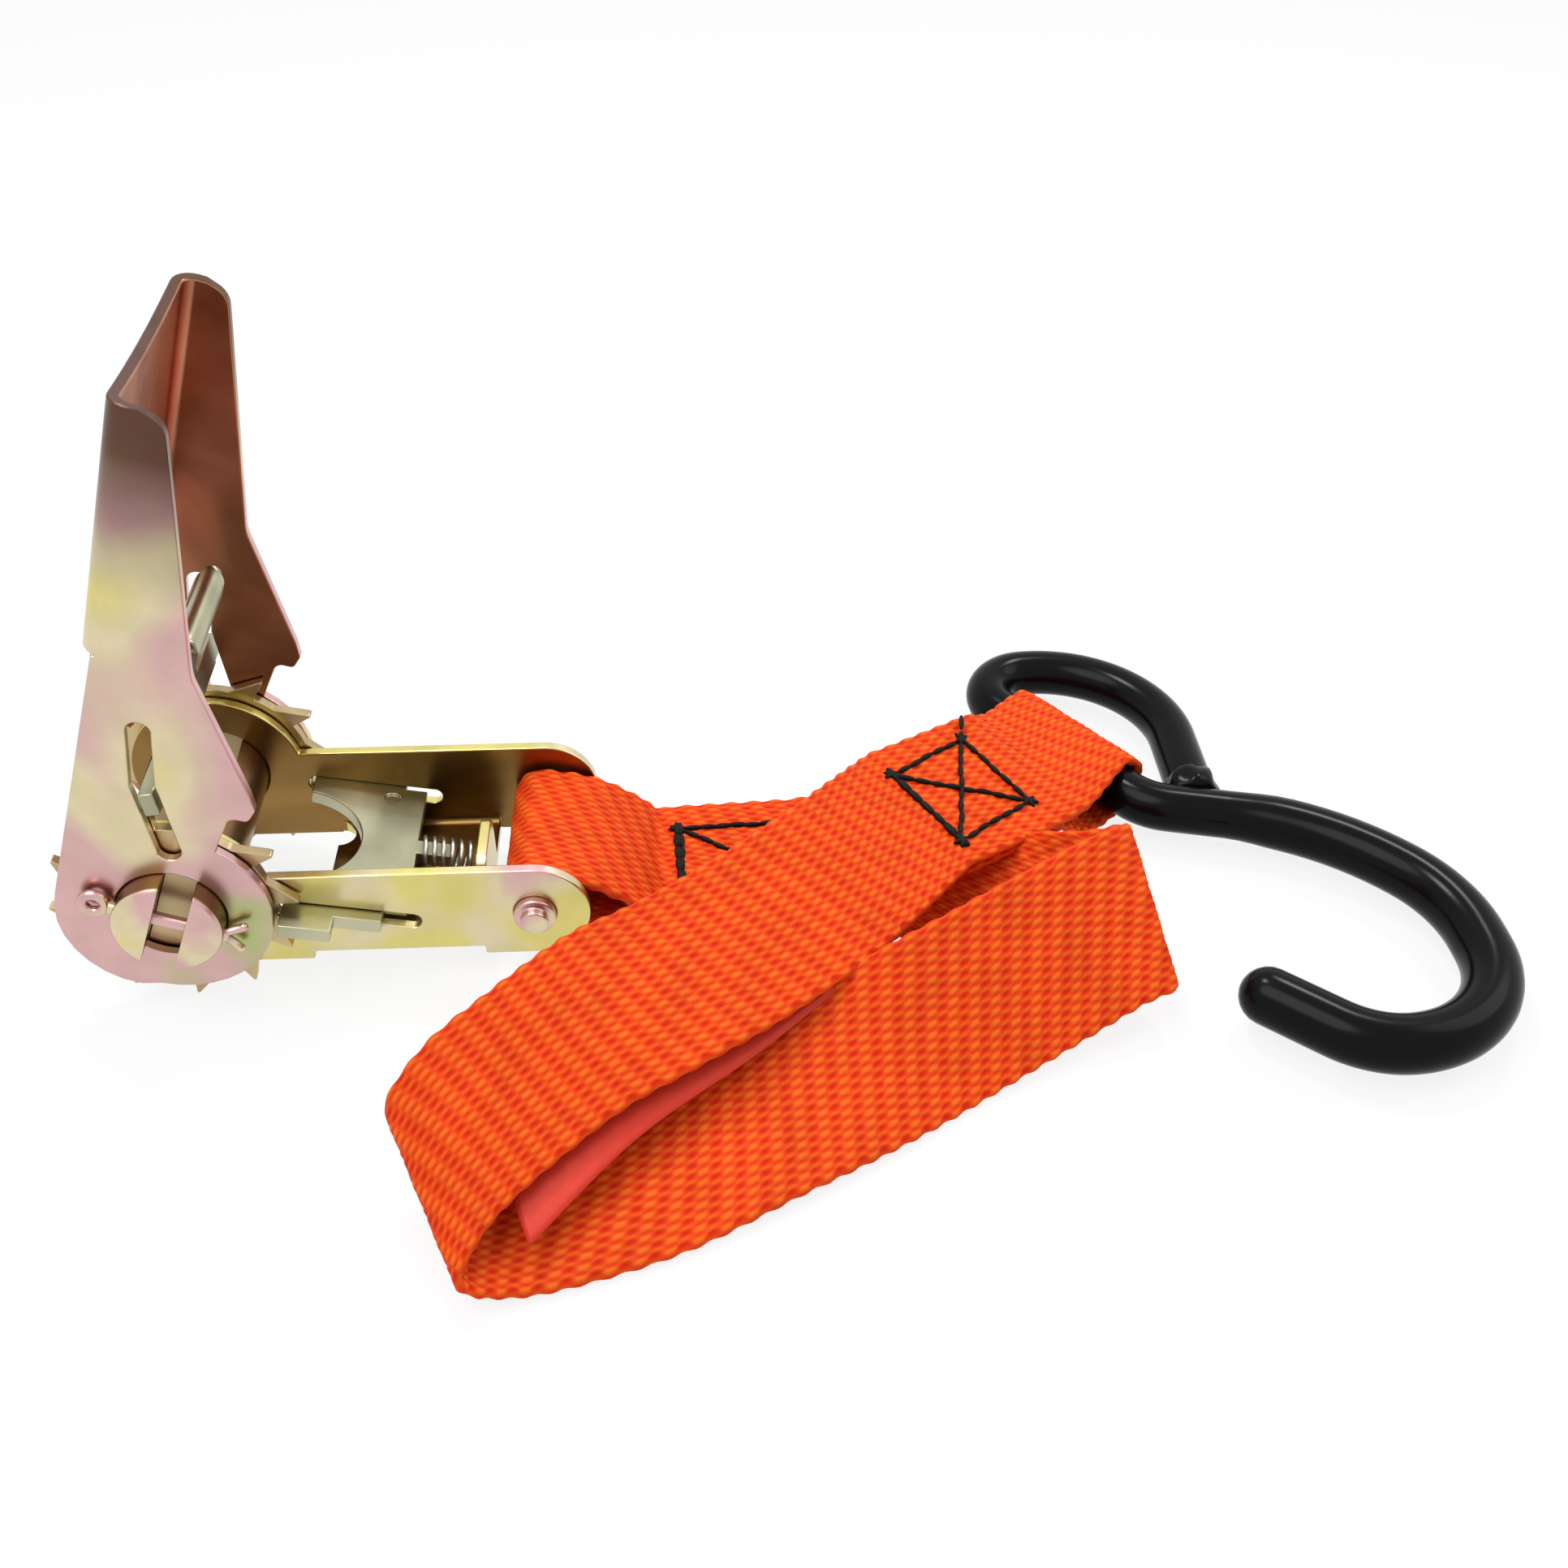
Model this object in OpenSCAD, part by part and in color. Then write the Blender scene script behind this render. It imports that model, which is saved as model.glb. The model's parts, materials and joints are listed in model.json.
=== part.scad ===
// Ratchet tie down: a steel ratchet buckle, a short length of sewn webbing and a dipped wire hook.
// Millimetres. Origin at the middle of the ratchet's shaft: +X towards the strap pin,
// +Y along the shaft away from the viewer, +Z up. The object lies on a floor at z = floor_z.

/* [Webbing] */
// Width of the webbing
web_w = 25; // [22:0.5:28]
// Thickness of the webbing
web_t = 1.4; // [1:0.1:1.8]
// Gap between two plies that are sewn together
ply_gap = 0.25; // [0.15:0.05:0.4]
// Length along the strap of the sewn box next to the ratchet
box_a = 18.5; // [15:0.5:18.5]
// Length along the strap of the sewn box next to the hook
box_b = 16; // [13:0.5:16]
// Width of a row of sewing thread
thread_w = 0.9; // [0.6:0.1:1.2]
// Height of the thread above the webbing
thread_h = 0.4; // [0.3:0.05:0.6]
// Width of the blank tag under the strap
tag_w = 22; // [18:0.5:24]
// Thickness of the blank tag
tag_t = 0.4; // [0.3:0.05:0.6]

/* [Frame] */
// Room on each side of the webbing between the frame plates
web_side = 0.75; // [0.5:0.05:1.5]
// Thickness of the frame plate
frame_t = 1.6; // [1.2:0.1:2]
// Radius of the frame's head around the shaft
head_r = 12.8; // [12.2:0.1:13]
// Radius of the frame's end around the strap pin
end_r = 7.8; // [6:0.1:8.4]
// Distance along the frame from the shaft to the strap pin
pin_x = 49.3; // [48:0.1:54]
// Depth of the strap pin below the shaft
pin_drop = 5; // [4:0.1:6]
// Where the frame's floor plate starts
floor_x = 17; // [15:0.5:20]
// Radius of the bend reliefs at the floor plate's start
relief_r = 2.4; // [1.5:0.1:3]
// Outside radius of the frame's bends
frame_bend = 2.6; // [2:0.1:3.4]
// Where the spring lug stands
lug_x = 40; // [39.5:0.1:41.5]
// Width of the spring lug
lug_w = 11.2; // [8:0.2:14]
// Height of the spring lug's top edge
lug_top = -3.5; // [-5:0.1:-2]

/* [Strap pin] */
// Radius of the strap pin
pin_r = 3; // [2.5:0.05:3.2]
// How far the pin's shoulder stands out of the frame
pin_proud = 1.2; // [0.8:0.1:1.6]
// Radius of the pin's peened tip
pin_tip_r = 1.95; // [1.5:0.05:2.3]
// Length of the pin's peened tip
pin_tip = 1.3; // [0.8:0.1:1.8]

/* [Shaft] */
// Radius of the split shaft
shaft_r = 7.5; // [6.8:0.1:7.8]
// Width of the strap slot between the halves
slot_gap = 4.6; // [3.6:0.1:5.4]
// Direction of the strap slot above the horizontal
slot_turn = 68; // [0:1:180]
// Wire diameter of the cotter pins
cotter_d = 1.9; // [1.5:0.1:2.2]
// How far the shaft reaches past the cotter pins
shaft_end = 1.2; // [0.8:0.1:2]

/* [Ratchet wheels] */
// Thickness of a ratchet wheel
wheel_t = 1.6; // [1.2:0.1:2]
// Radius of the tooth tips
tip_r = 17.1; // [16.9:0.05:17.2]
// Radius of the tooth roots
root_r = 13.8; // [13.6:0.05:14]

/* [Handle] */
// Lean of the handle from the vertical
lean = 18; // [12:1:24]
// Thickness of the handle's plate
handle_t = 1.5; // [1.2:0.1:1.8]
// Length of the handle from the shaft
handle_l = 76.5; // [70:0.5:90]
// Depth of the handle's back behind the shaft
back_d = 15.4; // [15:0.1:17]
// Radius of the handle's round bottom
handle_r = 13.8; // [13.2:0.1:13.9]
// Where the handle's back web starts
web_l = 41; // [38:0.5:46]
// Outside radius of the handle's bends
handle_bend = 3; // [2.5:0.1:4]
// Hollow of the handle's tip edge
tip_hollow = 1.3; // [0.5:0.1:2]
// Width of the dog-leg slots
slot_w = 3.2; // [2.8:0.1:3.6]

/* [Pawls] */
// Thickness of the handle pawl
pawl_t = 2; // [1.6:0.1:2]
// Thickness of the frame pawl
lock_t = 2.2; // [1.8:0.1:2.2]
// Travel of the handle pawl from the photographed place into the teeth
pawl_in = 3.1; // [2.6:0.1:3.1]
// Travel of the handle pawl when it is pulled back
pawl_out = 2.1; // [1.5:0.1:2.2]
// Travel of the frame pawl out of the teeth
lock_travel = 3.8; // [3.2:0.1:3.8]
// Slope of the frame pawl below the horizontal
lock_tilt = 10.8; // [9:0.1:12]
// Depth behind the frame pawl's nose at which its body starts
lock_neck = 7.2; // [6.5:0.1:8]

/* [Springs] */
// Wire diameter of the pawl springs
wire_d = 0.65; // [0.5:0.05:0.7]
// Outside diameter of the pawl springs
spring_d = 5.4; // [5.2:0.1:5.8]

/* [Hook] */
// Radius of the hook's bare rod
rod_r = 3.8; // [3.4:0.1:4]
// Thickness of the dipped coating
dip_t = 0.4; // [0.3:0.1:0.8]
// Size of the weld bead at the eye
weld_r = 2; // [1.5:0.1:2.4]

/* [Fits] */
// Running clearance of the shaft in its holes
run_fit = 0.08; // [0.04:0.01:0.1]
// Clearance of pieces that are fixed together
fixed_fit = 0.03; // [0.02:0.01:0.05]
// Side clearance between plates that turn past each other
side_fit = 0.3; // [0.25:0.05:0.5]
// Clearance between pieces that move apart
move_fit = 0.3; // [0.25:0.05:0.4]

/* [Hidden] */
$fn = 48;

zinc = "khaki";
zinc_dark = "darkkhaki";

// Widths along the shaft, from the middle outwards
frame_in = web_w / 2 + web_side;
frame_out = frame_in + frame_t;
wheel_in = frame_out + side_fit;
wheel_out = wheel_in + wheel_t;
handle_in = wheel_out + side_fit;
handle_out = handle_in + handle_t;
cotter_y = handle_out + side_fit + cotter_d / 2;
shaft_half = cotter_y + cotter_d / 2 + shaft_end;

// Frame heights
frame_low = -head_r;
frame_top = end_r - pin_drop;

// Ratchet teeth, from the locking face anticlockwise
teeth = 12;
pitch = 360 / teeth;
tooth_turn = -1;
tooth_slope = 16;
tooth_land = 1.2;

// Frame pawl, along its own line from the shaft
lock_nose = root_r + 2 * move_fit;
lock_wide = lock_nose + lock_neck;
lock_neck_end = lock_wide + 6.6;
lock_back = lock_neck_end + 3.2;
lock_slot = lock_t + 0.4;
lug_u = lug_x / cos(lock_tilt);
lock_seat = lug_u - (spring_d / 2) * tan(lock_tilt) - 0.15;
lock_tongue = lug_u - lock_travel - 2 * move_fit;
lock_ear = handle_out + 1.2;
tongue_w = 3;

// Handle pawl: a line in the handle's own side view, as [forward of the shaft, up the handle]
pawl_turn = 23.3;
pawl_foot = [-1.5, 11.53];
pawl_dir = [-sin(pawl_turn), cos(pawl_turn)];
pawl_rest = 6.2;
pawl_ear = 3.6;
pawl_bend = 11;
pawl_shoulder = 12;
seat_s = 18.4;
elbow_s = 11.4;
slot_top = [-7.3, 30.6];
tab_l = 35;
tab_half = 9;
strip_in = 4;
tab_curl = 6;
tab_sweep = 25;
tab_bridge = 2;
tip_flats = 5;
tip_trim = 0.2;

// Half widths of what slides between the handle's plates
pawl_half = handle_in - move_fit;
pawl_ear_y = handle_out + 0.3;

// The hook's bent rod, from the middle of the bar that carries the webbing: [length or radius, turn]
floor_z = -17.2;
hook_at = [133, 26.5];
hook_turn = 127;
hook_z = floor_z + 1.2 * move_fit + web_t + move_fit + rod_r;
bar_free = 2.3;
bar_half = web_w / 2 + bar_free;
eye_path = [[bar_half, 0], [7, -120], [20.3, -97]];
shank_path = [[bar_half - 1, 0], [10, 40], [9, 0]];
dip_path = [[45, -36], [24, -39], [2.5, 0], [17, -88], [14, -44], [10, 0]];
shank_end = walk(shank_path, hook_at, hook_turn - 180);
eye_end = walk(eye_path, hook_at, hook_turn);
weld_y = shank_end[1] + (eye_end[0] - shank_end[0]) * tan(shank_end[2]);
eye_foot = weld_y + rod_r / cos(shank_end[2]) 
    + (rod_r + weld_r / 2) * abs(tan(shank_end[2])) + 3 * fixed_fit;
rod_sides = 16;
bend_step = 9;

// Mid-plane radii of the webbing round the pin and the hook's bar
pin_loop = pin_r + move_fit + web_t / 2;
bar_loop = rod_r + 1.2 * move_fit + web_t / 2;
ply = web_t + ply_gap;
box_a_margin = 12;
box_b_margin = 10;
box_b_skew = 5;

// Sewn boxes: middle of the upper ply, direction across the strap and its rise
patch_a = [79, 2, -10.8];
patch_a_az = 93;
patch_a_tilt = 3;
patch_a_pitch = 0;
patch_a_half = 12.5;
patch_b = [112.5, 6.5, -2.6];
patch_b_az = 125;
patch_b_tilt = 14;
patch_b_half = 12.3;
patch_b_pitch = 7;
patch_rings = 8;

// Route of the strap: [x, y, z, direction across it, rise of that direction]
route_pin = [
    [57, 0, -2.8, 90, 0],
    [63.5, 1, -7.8, 91, 1]
];
route_runs = [
    [103, -1.5, -13, 95, 6],
    [120, -9, -11.5, 100, 22],
    [131, -14.5, -8.6, 103, 32],
    [136.9, -18.1, -4.3, 104, 35],
    [131, -21.5, -4.2, 108, 34],
    [121, -27, -7.2, 113, 30],
    [107, -34.5, -10, 117, 26],
    [93, -41, -11.2, 118, 21],
    [80, -47.4, -11.8, 117, 17],
    [66.5, -54.3, -12.5, 110, 17],
    [53.5, -58.5, -12.8, 104, 16],
    [44.5, -60.5, -12, 107, 15],
    [38.5, -62, -7.8, 116, 20],
    [42, -58, -2.5, 111, 28],
    [48.5, -51.5, -0.5, 106, 29],
    [59, -42.5, 1.4, 109, 24],
    [67.5, -36.5, 1.3, 113, 20],
    [78.5, -28.5, 1.3, 118, 21],
    [91, -17.5, 1.4, 121, 23],
    [98.5, -8.5, 0.4, 123, 19]
];
route_tag = [
    [97, -10, -2.6, 121, 20],
    [91, -18, -1.3, 120, 18],
    [76.5, -32, -2.2, 116, 21],
    [61, -45, -3.2, 111, 20],
    [47.5, -58, -7.5, 112, 18]
];
pin_rings = 6;
bar_rings = 6;
steps = 4;

// A bent path in plan as points, and its end as [x, y, heading]
function bend_move(size, turn, heading) =
    let (side = sign(turn) * size, to = heading + turn)
    side * [sin(to) - sin(heading), cos(heading) - cos(to)];
function walk(path, at, heading, i = 0) =
    i == len(path) ? [at[0], at[1], heading] :
    let (size = path[i][0], turn = path[i][1])
    turn == 0 ? walk(path, at + size * [cos(heading), sin(heading)], heading, i + 1) :
        walk(path, at + bend_move(size, turn, heading), heading + turn, i + 1);
function trail(path, at, heading, i = 0) =
    i == len(path) ? [at] :
    let (size = path[i][0], turn = path[i][1], n = ceil(abs(turn) / bend_step))
    turn == 0 ? concat([at], trail(path, at + size * [cos(heading), sin(heading)], heading, i + 1)) :
        concat([for (j = [0:n - 1]) at + bend_move(size, turn * j / n, heading)],
            trail(path, at + bend_move(size, turn, heading), heading + turn, i + 1));
function raised(flat, z) = [for (p = flat) [p[0], p[1], z]];
function turned_round(p) = [for (i = [len(p) - 1:-1:0]) p[i]];

// Points of an outline whose corners are [x, y, radius], turned anticlockwise or clockwise
function rounded(corners, n = 6) = [
    for (i = [0:len(corners) - 1])
        let (
            here = corners[i],
            last = corners[(i + len(corners) - 1) % len(corners)],
            next = corners[(i + 1) % len(corners)],
            a = unit([last[0] - here[0], last[1] - here[1]]),
            b = unit([next[0] - here[0], next[1] - here[1]]),
            half = acos(a * b) / 2,
            mid = unit(a + b),
            centre = [here[0], here[1]] + mid * here[2] / sin(half),
            sweep = 90 - half,
            facing = atan2(-mid[1], -mid[0]),
            turn = sign(a[0] * b[1] - a[1] * b[0])
        )
        each here[2] == 0 ? [[here[0], here[1]]] :
            [for (j = [0:n]) let (t = facing - turn * sweep * (2 * j / n - 1))
                centre + here[2] * [cos(t), sin(t)]]
];
function unit(v) = v / norm(v);

// Smooth line through stations
function spline(a, b, c, d, t) = 0.5 * (2 * b + (c - a) * t + (2 * a - 5 * b + 4 * c - d) * t * t
    + (3 * b - a - 3 * c + d) * t * t * t);
function smooth(st) = [
    for (i = [0:len(st) - 2], j = [0:steps - 1])
        spline(st[max(i - 1, 0)], st[i], st[i + 1], st[min(i + 2, len(st) - 1)], j / steps),
    st[len(st) - 1]
];

// Directions of a strap station: across it, and along a path at ring i
function across(s) = [cos(s[4]) * cos(s[3]), cos(s[4]) * sin(s[3]), sin(s[4])];
function place(s) = [s[0], s[1], s[2]];
function along(st, i) = unit(place(st[min(i + 1, len(st) - 1)]) - place(st[max(i - 1, 0)]));

// A flat strap swept along stations
module ribbon(st, width, thick) {
    n = len(st);
    points = [
        for (i = [0:n - 1])
            let (
                w = across(st[i]) * width / 2,
                up = unit(cross(along(st, i), w)) * thick / 2,
                c = place(st[i])
            )
            each [c - w - up, c + w - up, c + w + up, c - w + up]
    ];
    faces = [
        [0, 1, 2], [0, 2, 3],
        for (i = [0:n - 2], k = [0:3])
            let (a = 4 * i + k, b = 4 * i + (k + 1) % 4)
            each [[a, a + 4, b], [b, a + 4, b + 4]],
        [4 * n - 4, 4 * n - 2, 4 * n - 3], [4 * n - 4, 4 * n - 1, 4 * n - 2]
    ];
    polyhedron(points, faces);
}

// Stations of a straight sewn patch, from one end to the other, moved down to another ply
function patch(at, az, tilt, pitch_down, half, from, to, drop) =
    let (
        ahead = cos(pitch_down),
        aside = sin(pitch_down) * sin(tilt),
        go = [ahead * sin(az) + aside * cos(az), aside * sin(az) - ahead * cos(az),
            -sin(pitch_down) * cos(tilt)],
        down = unit(cross(go, across([0, 0, 0, az, tilt]))) * drop
    )
    [for (i = [0:patch_rings])
        let (p = at + go * half * (from + (to - from) * i / patch_rings) - down)
        [p[0], p[1], p[2], az, tilt]];

// Stations round the strap pin, from below it, past its left, to above it
function pin_turn() = [for (i = [0:pin_rings]) let (t = -90 - 180 * i / pin_rings)
    [pin_x + pin_loop * cos(t), 0, -pin_drop + pin_loop * sin(t), 90, 0]];

// Stations round the hook's bar, from above it, past its far side, to below it
function bar_turn() = [for (i = [0:bar_rings])
    let (
        t = 90 - 180 * i / bar_rings,
        out = bar_loop * cos(t),
        p = [hook_at[0] + out * sin(hook_turn), hook_at[1] - out * cos(hook_turn)]
    )
    [p[0], p[1], hook_z + bar_loop * sin(t), hook_turn, 0]];

tail_a = patch(patch_a, patch_a_az, patch_a_tilt, patch_a_pitch, patch_a_half, 1.1, -1, ply);
tail_a_lead = [
    [63, 1, -11.8, 91, 1],
    [56, 0, -10.2, 90, 0]
];
run_a = patch(patch_a, patch_a_az, patch_a_tilt, patch_a_pitch, patch_a_half, -1, 1, 0);
run_b = patch(patch_b, patch_b_az, patch_b_tilt, patch_b_pitch, patch_b_half, -1, 1, 0);
run_b_lead = [[126.5, 18, -5.6, 126, 7]];
tail_b = patch(patch_b, patch_b_az, patch_b_tilt, patch_b_pitch, patch_b_half, 1, -1, ply);
tail_b_lead = [[127, 19.5, -13.5, 126, 3]];
strap = smooth(concat(tail_a, tail_a_lead, pin_turn(), route_pin, run_a, route_runs,
    run_b, run_b_lead, bar_turn(), tail_b_lead, tail_b));

// A coil spring along +Z whose ends run straight for one wire diameter
curl_rings = 8;
wire_sides = 6;
function coil_points(length, turns) =
    let (
        r = (spring_d - wire_d) / 2,
        rise = length - wire_d,
        n = turns * curl_rings,
        line = [for (i = [0:n]) let (t = 360 * i / curl_rings)
            [r * cos(t), r * sin(t), wire_d / 2 + rise * i / n]],
        first = unit(line[0] - line[1]) * wire_d,
        last = unit(line[n] - line[n - 1]) * wire_d
    )
    concat([[line[0][0] + first[0], line[0][1] + first[1], line[0][2]]], line,
        [[line[n][0] + last[0], line[n][1] + last[1], line[n][2]]]);

// Least gap of a coil to itself, over points that are at least half a curl apart
function least_gap(p) = min([for (i = [0:len(p) - 1], j = [i + curl_rings / 2:1:len(p) - 1])
    norm(p[i] - p[j])]) - wire_d;

// Rings of a round tube about a line of points that never runs straight up
function tube_rings(p, r, sides) = [
    for (i = [0:len(p) - 1])
        let (
            go = unit(p[min(i + 1, len(p) - 1)] - p[max(i - 1, 0)]),
            side = unit(cross([0, 0, 1], go)),
            up = cross(go, side)
        )
        for (k = [0:sides - 1])
            let (t = 360 * k / sides)
            p[i] + r * (side * cos(t) + up * sin(t))
];

// Faces of a tube's wall from ring 0 to ring n - 1, and of a ring between two circles of points
function wall_faces(n, sides, first = 0) = [
    for (i = [0:n - 2], k = [0:sides - 1])
        let (a = first + i * sides + k, b = first + i * sides + (k + 1) % sides)
        each [[a, a + sides, b], [b, a + sides, b + sides]]
];
function cap_faces(sides, first) = [for (k = [1:sides - 2]) [first, first + k, first + k + 1]];
function ring_faces(sides, a, b) = [
    for (k = [0:sides - 1])
        let (m = (k + 1) % sides)
        each [[a + k, a + m, b + k], [a + m, b + m, b + k]]
];
function flipped(faces) = [for (f = faces) [f[0], f[2], f[1]]];

module tube(p, r, sides) {
    n = len(p);
    polyhedron(tube_rings(p, r, sides), concat(
        cap_faces(sides, 0),
        wall_faces(n, sides),
        flipped(cap_faces(sides, (n - 1) * sides))
    ));
}

// A sleeve that is open at its first point and closed over its last
module sleeve(p, inner_r, wall, sides) {
    n = len(p);
    outer = concat(p, [p[n - 1] + wall * unit(p[n - 1] - p[n - 2])]);
    inner_at = (n + 1) * sides;
    polyhedron(concat(tube_rings(outer, inner_r + wall, sides), tube_rings(p, inner_r, sides)), concat(
        ring_faces(sides, 0, inner_at),
        wall_faces(n + 1, sides),
        flipped(cap_faces(sides, n * sides)),
        flipped(wall_faces(n, sides, inner_at)),
        cap_faces(sides, inner_at + (n - 1) * sides)
    ));
}

module coil(length, turns) {
    p = coil_points(length, turns);
    tube(p, wire_d / 2, wire_sides);
    echo(least_gap = least_gap(p), length = length, turns = turns);
}

// A side view drawn in X and Z, given a width along the shaft
module side_plate(from, to) {
    translate([0, to, 0]) rotate([90, 0, 0]) linear_extrude(to - from) children();
}

// The same on both sides of the middle
module both_sides(from, to) {
    side_plate(from, to) children();
    side_plate(-to, -from) children();
}

// The handle's own upright frame, leaned back to where it stands
module in_handle() {
    rotate([0, lean, 0]) children();
}

// Section of a folded channel: its web on the X axis, its legs along +Y
module channel(half, thick, bend, leg) {
    polygon(rounded([
        [-half, leg, 0], [-half, 0, bend], [half, 0, bend], [half, leg, 0],
        [half - thick, leg, 0], [half - thick, thick, bend - thick],
        [-half + thick, thick, bend - thick], [-half + thick, leg, 0]
    ]));
}

// A slot with round ends; its sides stand a hair inside them, so that no side is tangent
module slot(a, b, width) {
    d = b - a;
    side = 0.985 * width;
    translate(a) circle(d = width);
    translate(b) circle(d = width);
    translate(a) rotate(atan2(d[1], d[0])) translate([0, -side / 2]) square([norm(d), side]);
}

module frame_side() {
    difference() {
        union() {
            circle(r = head_r);
            translate([0, frame_low]) square([pin_x, frame_top - frame_low]);
            translate([pin_x, -pin_drop]) circle(r = end_r);
        }
        circle(r = shaft_r + run_fit);
        translate([pin_x, -pin_drop]) circle(r = pin_r + fixed_fit);
        rotate(-lock_tilt) slot([lock_nose - 0.3 + lock_slot / 2 - 0.6, 0],
            [lock_neck_end + lock_travel + 0.4, 0], lock_slot);
    }
}

module frame_lug() {
    translate([lug_x, 0, 0]) rotate([90, 0, 90]) linear_extrude(frame_t)
        polygon(rounded([
            [-lug_w / 2, frame_low, 0], [lug_w / 2, frame_low, 0],
            [lug_w / 2, lug_top, 2], [-lug_w / 2, lug_top, 2]
        ]));
}

module frame() {
    floor_l = lug_x + frame_t - floor_x;
    fold_h = frame_bend + 1;
    color(zinc) {
        difference() {
            both_sides(frame_in, frame_out) frame_side();
            translate([floor_x, -frame_out - 1, frame_low - 1])
                cube([floor_l, 2 * frame_out + 2, frame_bend + 1]);
        }
        difference() {
            translate([floor_x, 0, frame_low]) rotate([90, 0, 90])
                linear_extrude(floor_l) channel(frame_out, frame_t, frame_bend, fold_h);
            for (s = [-1, 1])
                translate([floor_x, s * (frame_in - relief_r), frame_low - 1])
                    cylinder(r = relief_r, h = frame_t + 2);
        }
        frame_lug();
    }
}

module strap_pin() {
    color(zinc_dark) rotate([90, 0, 0]) translate([pin_x, -pin_drop, 0]) {
        cylinder(r = pin_r, h = 2 * (frame_out + pin_proud), center = true);
        cylinder(r = pin_tip_r, h = 2 * (frame_out + pin_proud + pin_tip), center = true);
    }
}

// One D-shaped half of the shaft; side is 1 for the half below the slot
module shaft_half_piece(side) {
    chamfer = 0.5;
    color(zinc_dark) rotate([0, 90 - slot_turn, 0]) difference() {
        rotate([90, 0, 0]) rotate_extrude() polygon([
            [0, -shaft_half], [shaft_r - chamfer, -shaft_half], [shaft_r, -shaft_half + chamfer],
            [shaft_r, shaft_half - chamfer], [shaft_r - chamfer, shaft_half], [0, shaft_half]
        ]);
        translate([side > 0 ? -2 * shaft_r + slot_gap / 2 : -slot_gap / 2, -shaft_half - 1, -shaft_r - 1])
            cube([2 * shaft_r, 2 * shaft_half + 2, 2 * shaft_r + 2]);
        for (s = [-1, 1])
            translate([0, s * cotter_y, 0]) rotate([0, 90, 0])
                cylinder(d = cotter_d + 2 * fixed_fit, h = 4 * shaft_r, center = true);
    }
}

module shaft_half_lower() {
    shaft_half_piece(1);
}

module shaft_half_upper() {
    shaft_half_piece(-1);
}

function ring_point(r, t) = r * [cos(t), sin(t)];

module wheel_side() {
    difference() {
        polygon([
            for (k = [0:teeth - 1])
                let (t = tooth_turn + k * pitch)
                each [
                    ring_point(root_r, t), ring_point(tip_r, t), ring_point(tip_r, t + tooth_land),
                    for (j = [0:3]) ring_point(root_r, t + tooth_slope + (pitch - tooth_slope) * j / 4)
                ]
        ]);
        rotate(slot_turn - 90) difference() {
            circle(r = shaft_r + fixed_fit);
            square([slot_gap - 2 * fixed_fit, 3 * shaft_r], center = true);
        }
    }
}

module ratchet_wheel_near() {
    color(zinc) side_plate(-wheel_out, -wheel_in) wheel_side();
}

module ratchet_wheel_far() {
    color(zinc) side_plate(wheel_in, wheel_out) wheel_side();
}

// A cotter pin along the shaft's cross direction: an eye, a shank and two spread legs
module cotter(y) {
    eye_r = cotter_d * 0.8;
    eye_wire = cotter_d * 0.8;
    shank = shaft_r + 2 * side_fit;
    leg_r = cotter_d * 0.32;
    leg = 3.4;
    color(zinc) translate([0, y, 0]) rotate([0, 90 - slot_turn, 0]) {
        rotate([0, 90, 0]) cylinder(d = cotter_d, h = 2 * shank, center = true);
        translate([-shaft_r - side_fit - eye_r - eye_wire / 2, 0, 0]) rotate([90, 0, 0])
            rotate_extrude() translate([eye_r, 0]) circle(d = eye_wire);
        for (t = [30, -42])
            translate([shaft_r + side_fit - leg_r, 0, 0]) rotate([0, 90 + t, 0]) {
                cylinder(r = leg_r, h = leg);
                translate([0, 0, leg]) sphere(r = leg_r);
            }
    }
}

module cotter_pin_near() {
    cotter(-cotter_y);
}

module cotter_pin_far() {
    cotter(cotter_y);
}

// Outline of a handle plate: up the front from the notch, down the back, round the bottom
module handle_side() {
    back = -back_d + handle_bend;
    heel = -back_d + handle_t;
    notch = 18.4;
    difference() {
        polygon(concat(
            rounded([
                [handle_r * sin(notch), handle_r * cos(notch), 0], [5.3, 19.4, 1.2], [7.8, 19.4, 0.8],
                [8.6, 21.6, 1], [7.5, 24, 4], [-1.8, 40.8, 8], [-8.4, handle_l - 1.5, 3],
                [back, handle_l, 0], [back, web_l, 0], [heel, web_l, 0], [heel, 0, 0]
            ]),
            [for (j = [0:24]) let (t = 270 - (270 - notch) * j / 25) handle_r * [sin(t), cos(t)]]
        ));
        circle(r = shaft_r + run_fit);
        slot(pawl_foot, pawl_foot + elbow_s * pawl_dir, slot_w);
        slot(pawl_foot + elbow_s * pawl_dir, slot_top, slot_w);
    }
}

// The tongue of the back web that turns inwards and carries the pawl spring
module spring_seat() {
    foot = pawl_foot + seat_s * pawl_dir;
    cross_dir = [cos(pawl_turn), sin(pawl_turn)];
    inner = foot + cross_dir * (spring_d / 2 + 0.8);
    reach = (-back_d + handle_t - foot[0]) / cross_dir[0];
    corner = foot + cross_dir * reach;
    polygon([
        [-back_d, web_l + 1], [-back_d, corner[1]], corner, inner, inner + pawl_dir * handle_t,
        corner + pawl_dir * handle_t + cross_dir * handle_t,
        [-back_d + handle_t, corner[1] + 3 * handle_t], [-back_d + handle_t, web_l + 1]
    ]);
}

module handle() {
    leg = handle_bend + 1;
    color(zinc) in_handle() {
        difference() {
            union() {
                both_sides(handle_in, handle_out) handle_side();
                translate([-back_d, 0, web_l]) rotate(-90)
                    linear_extrude(handle_l - web_l) channel(handle_out, handle_t, handle_bend, leg);
            }
            rotate([90, 0, 90]) linear_extrude(4 * back_d, center = true) tip_cut();
        }
        side_plate(-strip_in, strip_in) spring_seat();
    }
}

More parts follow.
